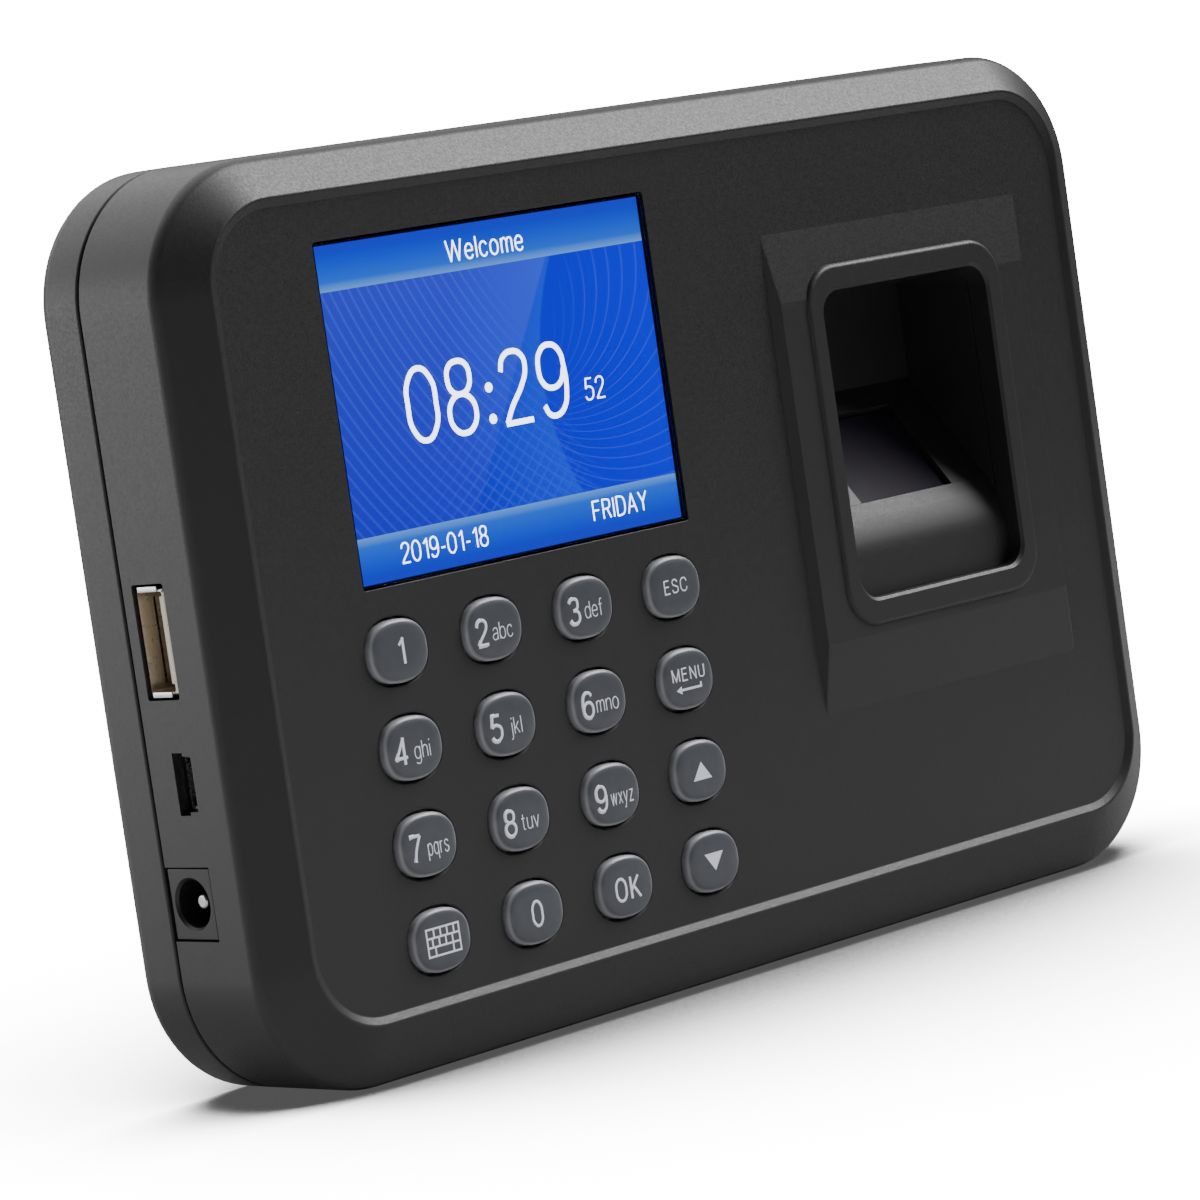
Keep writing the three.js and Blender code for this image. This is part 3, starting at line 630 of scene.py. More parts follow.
CASE = moulded("case_plastic", (0.0225, 0.0218, 0.0236), 0.46, 0.4, 0.014)
SATIN = moulded("satin_black", (0.019, 0.0185, 0.02), 0.5, 0.3, 0.004)
BLACK = moulded("black_plastic", (0.012, 0.012, 0.013), 0.45, 0.3, 0.006)
PALE = moulded("light_plastic", (0.72, 0.7, 0.64), 0.4, 0.4, 0.004, 0.05)
SILICONE = moulded("silicone", (0.48, 0.49, 0.51), 0.6, 0.6, 0.01, 0.05)
AMBER = moulded("flex_amber", (0.4, 0.17, 0.03), 0.35, 0.8, 0.004, 0.1)
STEEL = plated("steel", (0.62, 0.63, 0.65), 0.28)
GOLD = plated("plated_gold", (0.95, 0.82, 0.66), 0.3)
BOARD = laminate("board_green")
CLEAR = clear_sheet("clear_window")
SENSOR_GLASS = glass_painted_violet_reflection("sensor_glass")
KEY = smoked_key("key_plastic")
# The key legends' faint glow is painted light that brightens the printed ink.
KEY_INK_AND_PAINTED_GLOW = print_ink("key_ink_painted_glow", (0.84, 0.86, 0.95), 0.16)
SCREEN_INK = print_ink("screen_ink", (0.9, 0.95, 1.0), 4)
DISPLAY = lit_display("lit_display")
NODE_MATERIALS = {
    "steel": STEEL, "plated_gold": GOLD, "flex_amber": AMBER, "light_plastic": PALE,
    "silicone": SILICONE, "black_plastic": BLACK, "gloss_black": SATIN, "board_green": BOARD,
    "sensor_glass": SENSOR_GLASS, "clear_window": CLEAR, "lcd_glass": DISPLAY,
    "case_plastic": CASE, "key_plastic": KEY,
}


# ---------- the front shell ----------

def shrunk(box, by):
    """A face box (left, right, bottom, top) with each side moved inwards."""
    left, right, bottom, top = box
    return (left + by, right - by, bottom + by, top - by)


def shell_body():
    """The outside of the front shell: side wall, broad chamfer, rim and sunk panel."""
    shell = rounded_prism("case_front", CASE_BOX, CASE_CORNER, CHAMFER_DEPTH, SEAM)
    width, height = CASE_RIGHT - CASE_LEFT, CASE_TOP - CASE_BOTTOM
    stretch(1 - 2 * CHAMFER_DRAFT / width, 1 - CHAMFER_DRAFT / height)
    bpy.ops.transform.translate(value=(0, 0, -CHAMFER_DRAFT / 2 * MM))
    rim_inset = RIM_SIDE - CHAMFER_DRAFT
    bpy.ops.mesh.inset(thickness=rim_inset * MM, depth=(CHAMFER_DEPTH + RIM_PROUD) * MM)
    inset_height = height - CHAMFER_DRAFT - 2 * rim_inset
    rim_height = RIM_TOP - RIM_BOTTOM
    stretch(1, rim_height / inset_height)
    rim_middle = (RIM_TOP + RIM_BOTTOM) / 2
    now_middle = (CASE_BOTTOM + CASE_TOP - CHAMFER_DRAFT) / 2
    bpy.ops.transform.translate(value=(0, 0, (rim_middle - now_middle) * MM))
    bpy.ops.mesh.inset(thickness=RIM_WIDTH * 0.5 * MM, depth=0)
    bpy.ops.mesh.inset(thickness=RIM_WIDTH * 1.7 * MM, depth=-RIM_PROUD * MM)
    bevel_outline(0, 0.12)
    bevel_outline(-RIM_PROUD, 0.14)
    bevel_outline(CHAMFER_DEPTH, 1.1, 5)
    bevel_outline(SEAM, SHELL_EDGE)
    split_into_cells()
    leave()
    return shell


def split_into_cells():
    """Runs flat cuts between the rows and columns of keys, so that each cell of the panel has one hole."""
    middles = [node_middle("key_" + name) for name in KEY_TEXT]
    columns = sorted({round(x, 2) for x, _ in middles})
    rows = sorted({round(z, 2) for _, z in middles})
    half_pitch = (columns[1] - columns[0]) / 2
    across = [columns[0] - half_pitch] + [x + half_pitch for x in columns] + [PAD[0] - 1.5, PAD[1] + 1.5]
    half_pitch = (rows[1] - rows[0]) / 2
    upright = [z + half_pitch for z in rows] + [PAD[3] + 2]
    for places, way in ((across, Vector((1, 0, 0))), (upright, Vector((0, 0, 1)))):
        for place in places:
            bpy.ops.mesh.select_all(action="SELECT")
            bpy.ops.mesh.bisect(plane_co=place * MM * way, plane_no=way)


def crisp_panel(shell):
    """Marks the outline of the flat panel and of the pad's flat top, so that both shade as truly flat."""
    edit(shell)
    for depth in (0, -PAD_PROUD):
        flat = at_depth(depth)
        choose("EDGE", lambda edge: flat(edge) and sum(flat(face) for face in edge.link_faces) == 1)
        bpy.ops.mesh.mark_sharp()
    leave()


def shell_hollow():
    """The space inside the front shell, narrower at the front so that it follows the chamfer."""
    hollow = rounded_prism("hollow", shrunk(CASE_BOX, WALL), CASE_CORNER - WALL,
                           CHAMFER_DEPTH + 1.4, SEAM + 1)
    bpy.ops.mesh.inset(thickness=4.4 * MM, depth=2.5 * MM)
    bpy.ops.transform.translate(value=(0, 0, 1.2 * MM))
    leave()
    return hollow


def raised_pad():
    """The raised field round the finger window, with slanted sides and long soft ends."""
    left, right, bottom, top = PAD
    pad = rounded_prism("pad", PAD, 0.6, 0, 1, 4)
    push(-PAD_PROUD)
    stretch(1 - 2 * PAD_SIDE_SLOPE / (right - left), 1 - 2 * PAD_END_SLOPE / (top - bottom))
    on_top = at_depth(-PAD_PROUD)
    choose("EDGE", lambda edge: on_top(edge) and edge_run(edge).x > LONG_RUN)
    bpy.ops.mesh.bevel(offset=PAD_END_ROUND * MM, segments=6, affect="EDGES")
    choose("EDGE", lambda edge: on_top(edge) and edge.verts[0].co.x > (right - 5) * MM
           and edge_run(edge).z > LONG_RUN)
    bpy.ops.mesh.bevel(offset=PAD_RIGHT_ROUND * MM, segments=5, affect="EDGES")
    leave()
    return pad


def window_ring():
    """The raised ring round the finger window, which is the part's foremost surface."""
    ring = rounded_prism("ring", RING, RING_CORNER, -RING_PROUD, 1)
    bevel_outline(-RING_PROUD, 0.7, 6)
    leave()
    return ring


def flared_cut(name, box, corner, back, flare, mouth, reach=3, oval=False):
    """A cutter that opens out a little where it meets the surface at the mouth's depth."""
    left, right, bottom, top = box
    cutter = rounded_prism(name, box, corner, mouth + flare, back, 12, oval)
    push(-flare)
    stretch(1 + 2 * flare / (right - left), 1 + 2 * flare / (top - bottom))
    push(-reach)
    leave()
    return cutter


def key_box(name, margin):
    """The outline of a key's cap, grown by a margin; the CAD node's own box includes its hidden flange."""
    left, right, _, _, bottom, top = node_box("key_" + name)
    return shrunk((left, right, bottom, top), KEY_FLANGE_MARGIN - margin)


def key_holes():
    """Cutters for all the key holes, as one object."""
    cutters = []
    for name in KEY_TEXT:
        box = key_box(name, KEY_CLEARANCE)
        cutters.append(flared_cut("hole_" + name, box, 0, WALL + 1, 0.2, 0, oval=True))
    return joined(cutters)


def socket_cuts():
    """Openings in the left wall for the three sockets."""
    outside, inside = CASE_LEFT - 1, CASE_LEFT + WALL + 2
    _, _, front, back, bottom, top = node_box("usb_a_shell")
    usb = block("usb_cut", outside, inside, front - 0.3, back + 0.3, bottom - 0.6, top + 0.6)
    bevel_all(usb, 0.35)
    _, _, front, back, bottom, top = node_box("mini_usb_shell")
    mini = block("mini_cut", outside, inside, front - 0.4, back + 0.35, bottom - 0.1, top + 0.1)
    wide = block("mini_wide", outside, inside, front + 1.1, back + 0.35, bottom - 0.55, top + 0.55)
    unite(mini, wide)
    _, _, front, _, bottom, top = node_box("dc_jack_body")
    jack = block("jack_cut", outside, inside, front - 0.22, SEAM + 1, bottom - 0.22, top + 0.22)
    return [usb, mini, jack]


def bosses():
    """Posts that take the case screws and the board screws."""
    posts, pilots = [], []
    for kind, radius, back, bore, start in (("case", 3.8, SEAM - 0.2, 1.85, 8), ("board", 2.4, 7, 1.45, 4)):
        for i in range(1, 5):
            x, z = node_middle(f"{kind}_screw_{i}")
            posts.append(round_bar("post", x, z, radius, WALL - 0.5, back, 32))
            pilots.append(round_bar("pilot", x, z, bore, start, back + 1, 24))
    return posts, pilots


def front_shell():
    """The front half of the case, with its face panel, openings, socket cuts and screw posts."""
    shell = shell_body()
    cut(shell, shell_hollow())
    unite(shell, raised_pad())
    unite(shell, window_ring())
    well = flared_cut("well_cut", WELL, WELL_CORNER, WALL + 3, 0.4, -RING_PROUD)
    cut(shell, well)
    cut(shell, flared_cut("screen_cut", SCREEN_CUT, 0.5, WALL + 1, 0.03, 0))
    cut(shell, key_holes())
    posts, pilots = bosses()
    for post in posts:
        unite(shell, post)
    for opening in pilots + socket_cuts():
        cut(shell, opening)
    crisp_panel(shell)
    coat(smooth(shell), CASE, stands_for=["front_shell"])


# ---------- the rear cover ----------

def keyhole_cut(x):
    """A round hole for a wall screw's head, with a narrower slot above it."""
    low, high = KEYHOLE_Z, KEYHOLE_Z + KEYHOLE_RISE
    hole = round_bar("keyhole", x, low, KEYHOLE_RADIUS, *THROUGH_COVER)
    neck = block("neck", x - KEYHOLE_NECK, x + KEYHOLE_NECK, *THROUGH_COVER, low, high)
    end = round_bar("end", x, high, KEYHOLE_NECK, *THROUGH_COVER)
    unite(hole, neck)
    return unite(hole, end)


def grille_cut():
    """Five level slots in front of the speaker."""
    x, z = node_middle("speaker")
    slots = []
    for i in range(GRILLE_SLOTS):
        middle = z + (i - GRILLE_SLOTS // 2) * GRILLE_PITCH
        box = (x - GRILLE_HALF_LENGTH, x + GRILLE_HALF_LENGTH,
               middle - GRILLE_HALF_WIDTH, middle + GRILLE_HALF_WIDTH)
        slots.append(rounded_prism("slot", box, 0.88, *THROUGH_COVER, 8))
        leave()
    return joined(slots)


def rear_cover():
    """The cover behind the seam, with screw bosses, two keyholes, a grille and a blank label recess."""
    cover = rounded_prism("case_back", CASE_BOX, CASE_CORNER, COVER_FRONT, CASE_BACK)
    bevel_outline(CASE_BACK, COVER_EDGE, 8)
    bevel_outline(COVER_FRONT, SHELL_EDGE)
    leave()
    hollow = rounded_prism("cover_hollow", shrunk(CASE_BOX, COVER_SKIN), CASE_CORNER - COVER_SKIN,
                           COVER_FRONT - 1, CASE_BACK - WALL)
    leave()
    cut(cover, hollow)
    for i in range(1, 5):
        x, z = node_middle(f"case_screw_{i}")
        unite(cover, round_bar("boss", x, z, 5, COVER_FRONT, CASE_BACK - 1))
        cut(cover, round_bar("counterbore", x, z, 3.5, 21.5, CASE_BACK + 1))
        cut(cover, round_bar("through", x, z, 1.85, SEAM - 1, CASE_BACK))
    for x in (-KEYHOLE_X, KEYHOLE_X):
        cut(cover, keyhole_cut(x))
    cut(cover, grille_cut())
    label = rounded_prism("label", LABEL, 2, CASE_BACK - LABEL_DEPTH, CASE_BACK + 1, 8)
    leave()
    cut(cover, label)
    coat(smooth(cover), CASE, stands_for=["rear_cover"])


# ---------- keys and their legends ----------

def mark_rim(piece, box):
    """Writes how near each point of a key's face is to its rim, from 0 in the middle to 1, for the key
    material's painted pale rim.
    """
    left, right, bottom, top = box
    middle_x, middle_z = (left + right) / 2, (bottom + top) / 2
    rim = piece.data.attributes.new("rim", "FLOAT", "POINT")
    for i, vertex in enumerate(piece.data.vertices):
        across = abs(vertex.co.x / MM - middle_x) / ((right - left) / 2)
        along = abs(vertex.co.z / MM - middle_z) / ((top - bottom) / 2)
        far = (across ** 2.6 + along ** 2.6) ** (1 / 2.6)
        rim.data[i].value = min(1, max(0, (far - 0.9) / 0.06)) if far < 1.04 else 0


def key_cap(name):
    """One key: a hidden flange and an oval cap with a softly crowned face."""
    box = key_box(name, 0)
    flange_front, flange_back = 2.5, 3.3
    cap = rounded_prism("keytop_" + name, key_box(name, KEY_FLANGE_MARGIN), 0, flange_front, flange_back,
                        12, oval=True)
    bpy.ops.mesh.inset(thickness=KEY_FLANGE_MARGIN * MM, depth=0)
    push(-flange_front - 0.3)
    for inward, outward in ((0.08, 0.18), (0.14, 0.16), (0.24, 0.13), (0.5, 0.09), (0.9, 0.04), (0.9, 0)):
        bpy.ops.mesh.inset(thickness=inward * MM, depth=outward * MM)
    leave()
    mark_rim(cap, box)
    coat(smooth(cap, 40), KEY, "body_key_" + name, ["key_" + name])
    return box


BOWL_RIGHT = "o.05,.35 .1,.58 .26,.7 .42,.6 .47,.35 .42,.1 .26,0 .1,.12"
BOWL_LEFT = "o.45,.35 .4,.58 .24,.7 .08,.6 .03,.35 .08,.1 .24,0 .4,.12"
ARCH = "~.05,.45 .14,.65 .28,.7 .4,.62 .43,.42/|.43,.42 .43,0"
GLYPHS = {
    "0": "o.28,0 .5,.18 .54,.5 .5,.82 .28,1 .06,.82 .02,.5 .06,.18",
    "1": "|.08,.76 .3,.98 .3,0",
    "2": "~.04,.74 .1,.92 .28,1 .47,.92 .51,.73 .4,.5 .18,.24 .04,.02/|.02,.01 .54,.01",
    "3": "~.05,.84 .14,.96 .28,1 .44,.95 .49,.77 .42,.58 .24,.53"
         "/~.24,.53 .46,.46 .53,.27 .46,.07 .28,0 .12,.03 .03,.16",
    "4": "|.42,0 .42,1 .03,.27 .57,.27",
    "5": "|.48,1 .13,1 .07,.54/~.07,.54 .2,.62 .34,.61 .5,.5 .53,.3 .46,.1 .27,0 .11,.04 .03,.17",
    "6": "~.5,.84 .42,.97 .28,1 .12,.9 .04,.66 .04,.34 .1,.1 .28,0 .46,.08 .53,.3 .46,.54 .3,.61 "
         ".13,.54 .05,.36",
    "7": "|.03,1 .54,1/~.54,1 .38,.66 .26,.34 .2,0",
    "8": "o.28,1 .44,.94 .49,.77 .43,.6 .28,.54 .13,.6 .07,.77 .12,.94"
         "/o.28,.54 .46,.46 .53,.27 .45,.07 .28,0 .11,.07 .03,.27 .1,.46",
    "9": "~.06,.16 .14,.03 .28,0 .44,.1 .52,.34 .52,.66 .46,.9 .28,1 .1,.92 .03,.7 .1,.46 .26,.39 "
         ".43,.46 .51,.64",
    "a": "~.06,.56 .14,.67 .26,.7 .38,.66 .42,.52/|.42,.52 .42,0"
         "/~.42,.38 .2,.36 .05,.27 .05,.1 .18,0 .33,.05 .42,.2",
    "b": "|.05,0 .05,1/" + BOWL_RIGHT,
    "c": "~.43,.54 .36,.66 .25,.7 .1,.6 .04,.35 .1,.1 .25,0 .36,.04 .44,.18",
    "d": "|.45,0 .45,1/" + BOWL_LEFT,
    "e": "|.04,.37 .45,.37/~.45,.37 .42,.58 .26,.7 .1,.6 .04,.35 .1,.1 .26,0 .38,.04 .45,.16",
    "f": "~.3,.99 .2,1 .14,.88 .14,.7/|.14,.7 .14,0/|.02,.68 .28,.68",
    "g": "|.45,.7 .45,-.1/~.45,-.1 .38,-.27 .22,-.3 .07,-.22/" + BOWL_LEFT,
    "h": "|.05,0 .05,1/" + ARCH,
    "i": "|.06,0 .06,.7/|.06,.9 .06,1",
    "j": "|.1,.7 .1,-.15/~.1,-.15 .05,-.28 -.05,-.29/|.1,.9 .1,1",
    "k": "|.05,0 .05,1/|.4,.7 .05,.28/|.17,.42 .43,0",
    "l": "|.06,0 .06,1",
    "m": "|.05,0 .05,.7/~.05,.45 .12,.64 .22,.7 .33,.62 .35,.42/|.35,.42 .35,0"
         "/~.35,.45 .42,.64 .53,.7 .64,.62 .66,.42/|.66,.42 .66,0",
    "n": "|.05,0 .05,.7/" + ARCH,
    "o": "o.26,.7 .42,.6 .48,.35 .42,.1 .26,0 .1,.1 .04,.35 .1,.6",
    "p": "|.05,-.3 .05,.7/" + BOWL_RIGHT,
    "q": "|.45,-.3 .45,.7/" + BOWL_LEFT,
    "r": "|.05,0 .05,.7/~.05,.45 .12,.64 .28,.69",
    "s": "~.4,.58 .33,.68 .22,.7 .08,.63 .07,.48 .22,.37 .38,.28 .4,.12 .24,0 .1,.04 .03,.16",
    "t": "|.15,.92 .15,.15/~.15,.15 .19,.02 .3,.01/|.02,.68 .28,.68",
    "u": "|.05,.7 .05,.28/~.05,.28 .08,.07 .2,0 .35,.06 .43,.25/|.43,.7 .43,0",
    "v": "|.02,.7 .22,0 .42,.7",
    "w": "|.02,.7 .17,0 .33,.68 .49,0 .64,.7",
    "x": "|.03,.7 .42,0/|.42,.7 .03,0",
    "y": "|.02,.7 .22,.02/|.43,.7 .22,.02 .13,-.25 .02,-.29",
    "z": "|.04,.69 .4,.69 .03,.01 .42,.01",
    "A": "|.02,0 .31,1 .6,0/|.12,.34 .5,.34",
    "C": "~.6,.72 .5,.93 .33,1 .12,.88 .04,.5 .12,.12 .33,0 .5,.07 .61,.3",
    "D": "|.06,0 .06,1 .26,1/~.26,1 .48,.92 .58,.7 .6,.5 .58,.3 .48,.08 .26,0/|.26,0 .06,0",
    "E": "|.5,1 .06,1 .06,0 .52,0/|.06,.53 .46,.53",
    "F": "|.5,1 .06,1 .06,0/|.06,.52 .44,.52",
    "I": "|.06,0 .06,1",
    "K": "|.06,0 .06,1/|.56,1 .06,.36/|.22,.56 .6,0",
    "M": "|.06,0 .06,1 .37,.05 .68,1 .68,0",
    "N": "|.06,0 .06,1 .56,0 .56,1",
    "O": "o.35,1 .58,.87 .66,.5 .58,.13 .35,0 .12,.13 .04,.5 .12,.87",
    "R": "|.06,0 .06,1 .3,1/~.3,1 .48,.93 .52,.75 .47,.57 .3,.5/|.3,.5 .06,.5/|.32,.5 .54,0",
    "S": "~.5,.78 .42,.95 .28,1 .1,.93 .06,.76 .14,.6 .3,.52 .48,.42 .54,.24 .46,.06 .28,0 .1,.06 .03,.25",
    "U": "|.06,1 .06,.35/~.06,.35 .1,.1 .3,0 .5,.1 .54,.35/|.54,.35 .54,1",
    "W": "|.02,1 .23,0 .46,.95 .69,0 .9,1",
    "Y": "|.02,1 .29,.48 .56,1/|.29,.48 .29,0",
    ":": "o.1,.09 .13,.12 .1,.15 .07,.12/o.1,.53 .13,.56 .1,.59 .07,.56",
    "-": "|.05,.38 .3,.38",
}


def glyph_strokes(letter):
    """Each stroke of a letter: whether it is curved, whether it closes, and its points."""
    strokes = []
    for stroke in GLYPHS[letter].split("/"):
        points = [tuple(float(n) for n in pair.split(",")) for pair in stroke[1:].split(" ")]
        strokes.append((stroke[0] in "~o", stroke[0] == "o", points))
    return strokes


def square_joints(points, overlap):
    """Splits a cornered stroke into straight runs that overlap at the corners, so none gets thin there."""
    runs = []
    for i, (start, end) in enumerate(zip(points, points[1:])):
        along = (Vector(end) - Vector(start)).normalized() * overlap
        first = Vector(start) - (along if i else along * 0)
        last = Vector(end) + (along if i < len(points) - 2 else along * 0)
        runs.append([tuple(first), tuple(last)])
    return runs


def lettering(name, text, x, z, height, stroke, depth, ink, body=HOUSING, squeeze=1.0,
              spacing=0.19):
    """A line of plain drawn characters centred at x, its base line at z, printed at a depth."""
    curve = bpy.data.curves.new(name, "CURVE")
    curve.dimensions = "3D"
    curve.bevel_depth = stroke / 2 * MM
    curve.bevel_resolution = 1
    curve.resolution_u = 5
    curve.use_fill_caps = True
    pen = 0
    for letter in text:
        strokes = glyph_strokes(letter)
        for curved, closed, points in strokes:
            placed = [((pen + across * squeeze) * height, up * height) for across, up in points]
            for run in [placed] if curved else square_joints(placed, 0.3 * stroke):
                spline = curve.splines.new("BEZIER")
                spline.bezier_points.add(len(run) - 1)
                spline.use_cyclic_u = closed
                for point, (across, up) in zip(spline.bezier_points, run):
                    point.co = (across * MM, 0, up * MM)
                    point.handle_left_type = point.handle_right_type = "AUTO" if curved else "VECTOR"
        pen += squeeze * max(across for _, _, points in strokes for across, _ in points) + spacing
    line = bpy.data.objects.new(name, curve)
    bpy.context.scene.collection.objects.link(line)
    alone(line)
    bpy.ops.object.convert(target="MESH")
    line = named(name)
    line.scale = (1, INK_THICKNESS / stroke, 1)
    line.location = spot(x - (pen - spacing) * height / 2, depth, z)
    settle(line)
    return coat(line, ink, body)


def flat_mark(name, corners, depth, ink, body, thickness=INK_THICKNESS):
    """A small printed shape with straight sides, given by its corners."""
    outline = [(x, depth - thickness / 2, z) for x, z in corners]
    piece = outline_solid(name, outline, (0, thickness, 0))
    return coat(piece, ink, body)


def keyboard_mark(name, x, z, depth, body):
    """A small drawing of a keyboard: thin lines that part three rows of keys."""
    half_w, half_h, line = 2.9, 1.75, 0.26
    rows = [z - half_h, z - half_h / 3, z + half_h / 3, z + half_h]
    shapes = [(x - half_w, x + half_w, row - line / 2, row + line / 2) for row in rows]
    uprights = [
        (0, (-1, -0.55, 0.55, 1)),
        (1, (-1, -0.68, -0.27, 0.14, 0.55, 1)),
        (2, (-1, -0.55, -0.14, 0.27, 0.68, 1)),
    ]
    for row, places in uprights:
        for place in places:
            middle = x + place * (half_w - line / 2)
            low, high = rows[row] + line / 2, rows[row + 1] - line / 2
            shapes.append((middle - line / 2, middle + line / 2, low, high))
    parts = []
    for i, (left, right, low, high) in enumerate(shapes):
        corners = [(left, low), (right, low), (right, high), (left, high)]
        parts.append(flat_mark(f"{name}_{i}", corners, depth, KEY_INK_AND_PAINTED_GLOW, body))
    joined(parts).name = name


def keypad():
    """Keys with a bold digit on the left and light letters beside it, or one word or sign."""
    for name, (big, small) in KEY_TEXT.items():
        left, right, bottom, top = key_cap(name)
        x, z = (left + right) / 2, (bottom + top) / 2
        body = "body_key_" + name
        label = "legend_" + name
        if big and small:
            lettering(label, big, x - 2.4, z - 1.8, 3.25, 0.72, KEY_FACE, KEY_INK_AND_PAINTED_GLOW, body, squeeze=1.06)
            wide = 3.9 / (0.6 * len(small) * 2.15)
            aside = 1.1 if len(small) < 4 else 1.35
            lettering(label + "_letters", small, x + aside, z - 1.4, 2.15, 0.25, KEY_FACE, KEY_INK_AND_PAINTED_GLOW, body,
                      squeeze=min(1.1, wide), spacing=0.14)
        elif big:
            lettering(label, big, x, z - 1.7, 3.2 if len(big) == 1 else 2.9, 0.68, KEY_FACE, KEY_INK_AND_PAINTED_GLOW, body,
                      spacing=0.26)
        elif name == "menu":
            lettering(label, small, x, z - 0.1, 1.6, 0.34, KEY_FACE, KEY_INK_AND_PAINTED_GLOW, body, squeeze=1.25, spacing=0.3)
            arrow = [(x - 2.5, z - 1.3), (x - 1.5, z - 1.85), (x - 1.5, z - 1.46), (x + 2.3, z - 1.46),
                     (x + 2.3, z - 0.7), (x + 2.0, z - 0.7), (x + 2.0, z - 1.14), (x - 1.5, z - 1.14),
                     (x - 1.5, z - 0.75)]
            flat_mark(label + "_arrow", arrow, KEY_FACE, KEY_INK_AND_PAINTED_GLOW, body)
        elif name == "esc":
            lettering(label, small, x, z - 0.8, 1.75, 0.34, KEY_FACE, KEY_INK_AND_PAINTED_GLOW, body, squeeze=1.15,
                      spacing=0.26)
        elif name in ("up", "down"):
            tip = 1.2 if name == "up" else -1.2
            corners = [(x - 1.75, z - tip), (x + 1.75, z - tip), (x, z + tip)]
            flat_mark(label, corners, KEY_FACE, KEY_INK_AND_PAINTED_GLOW, body)
        else:
            keyboard_mark(label, x, z, KEY_FACE, body)


# ---------- the display ----------

def display():
    """The clear window and the characters on the lit display under it."""
    left, right, front, back, bottom, top = WINDOW
    window = rounded_prism("display_glass", (left, right, bottom, top), 0.35, front, back, 5)
    bevel_outline(front, 0.03, 2)
    leave()
    coat(smooth(window), CLEAR, stands_for=["display_window"])
    depth = LCD_FACE - 0.04

    def screen_text(name, text, across, down, height, stroke, squeeze=1.0):
        x = SCREEN[0] + across * SCREEN_WIDTH
        z = SCREEN[3] - down * SCREEN_HEIGHT
        lettering(name, text, x, z, height, stroke, depth, SCREEN_INK, squeeze=squeeze)

    screen_text("screen_clock", "08:29", 0.45, 0.615, 9.3, 0.86)
    screen_text("screen_seconds", "52", 0.78, 0.588, 2.8, 0.24)
    screen_text("screen_greeting", "Welcome", 0.505, 0.107, 2.7, 0.27, 1.12)
    screen_text("screen_date", "2019-01-18", 0.257, 0.955, 2.55, 0.25, 1.0)
    screen_text("screen_weekday", "FRIDAY", 0.806, 0.952, 2.5, 0.25, 1.08)


# ---------- the finger well ----------

def finger_well():
    """The moulded well: a rounded sill, a ramp with a trough for the sensor, side walls and a roof."""
    foot_depth, foot_height = RAMP_FOOT
    left, right, bottom, top = WELL
    wall = 1.7
    outer = block("finger_well", left - wall, right + wall, 2.5, WELL_BACK + wall, bottom - 2.5, top + wall)
    sill = rounded_prism("sill", (left + 0.06, right - 0.06, bottom + 0.06, foot_height + 4), WELL_CORNER,
                         0.9, 3.5, 10)
    leave()
    unite(outer, sill)
    ramp_top = foot_height + (WELL_BACK - foot_depth) * math.tan(RAMP_ANGLE)
    profile = [(-3, bottom - 1), (SILL_PROFILE[0][0], bottom - 1), *SILL_PROFILE, RAMP_FOOT,
               (WELL_BACK, ramp_top), (WELL_BACK, top - 1.5), (2.5, top), (-3, top)]
    air = outline_solid("air", [(left, depth, z) for depth, z in profile], (right - left, 0, 0))
    bevel_roof(air, top)
    cut(outer, air)
    half = TROUGH[1] / 2
    middle = spot((left + right) / 2, foot_depth + half * math.cos(RAMP_ANGLE),
                  foot_height + half * math.sin(RAMP_ANGLE))
    bpy.ops.object.select_all(action="DESELECT")
    bpy.ops.mesh.primitive_cube_add(size=MM)
    trough = named("trough")
    trough.scale = TROUGH
    trough.rotation_euler.x = RAMP_ANGLE
    trough.location = middle
    settle(trough)
    cut(outer, trough)
    bevel_all(outer, 0.3, 3, 30)
    coat(smooth(outer, 35), SATIN, stands_for=["finger_guide"])


def bevel_roof(air, top):
    """Rounds the two long upper edges of the well."""
    edit(air)
    choose("EDGE", lambda edge: all(v.co.z > (top - 0.1) * MM for v in edge.verts) and edge_run(edge).y > MM)
    bpy.ops.mesh.bevel(offset=WELL_CORNER * MM, segments=8, affect="EDGES")
    leave()


# ---------- sockets ----------

def usb_socket():
    """A sheet-metal sleeve with spring slots, bright ears at its mouth and contacts on its tongue."""
    left, right, front, back, bottom, top = node_box("usb_a_shell")
    sleeve = block("usb_a_sleeve", left, right, front, back, bottom, top)
    bevel_all(sleeve, 0.5, 4)
    sheet = 0.35
    hollow = block("sleeve_hollow", left - 1, right - 1, front + sheet, back - sheet,
                   bottom + sheet, top - sheet)
    bevel_all(hollow, 0.3, 3)
    cut(sleeve, hollow)
    for z in (bottom + 3.4, top - 3.4):
        spring = block("spring", left + 4, left + 9, front - 1, front + 1, z - 1, z + 1)
        cut(sleeve, spring)
    flap = block("flap", left + 2.4, left + 2.75, back - 1, back + 1, bottom + 1.2, top - 1.2)
    cut(sleeve, flap)
    coat(smooth(sleeve), GOLD, stands_for=["usb_a_shell"])
    for name, low, high in (("lower", bottom - 0.3, bottom + 0.45), ("upper", top - 0.45, top + 0.3)):
        ear = block("usb_ear_" + name, left - 0.1, left + 0.5, front + 1.1, back - 0.5, low, high)
        bevel_all(ear, 0.15, 2)
        coat(smooth(ear), STEEL)
    left, right, front, back, bottom, top = node_box("usb_a_tongue")
    for i in range(4):
        z = bottom + (i + 0.5) * (top - bottom) / 4
        contact = block(f"usb_contact_{i + 1}", left + 0.4, right - 1, front - 0.16, front - 0.02,
                        z - 0.5, z + 0.5)
        bevel_all(contact, 0.05, 2)
        coat(smooth(contact), GOLD)


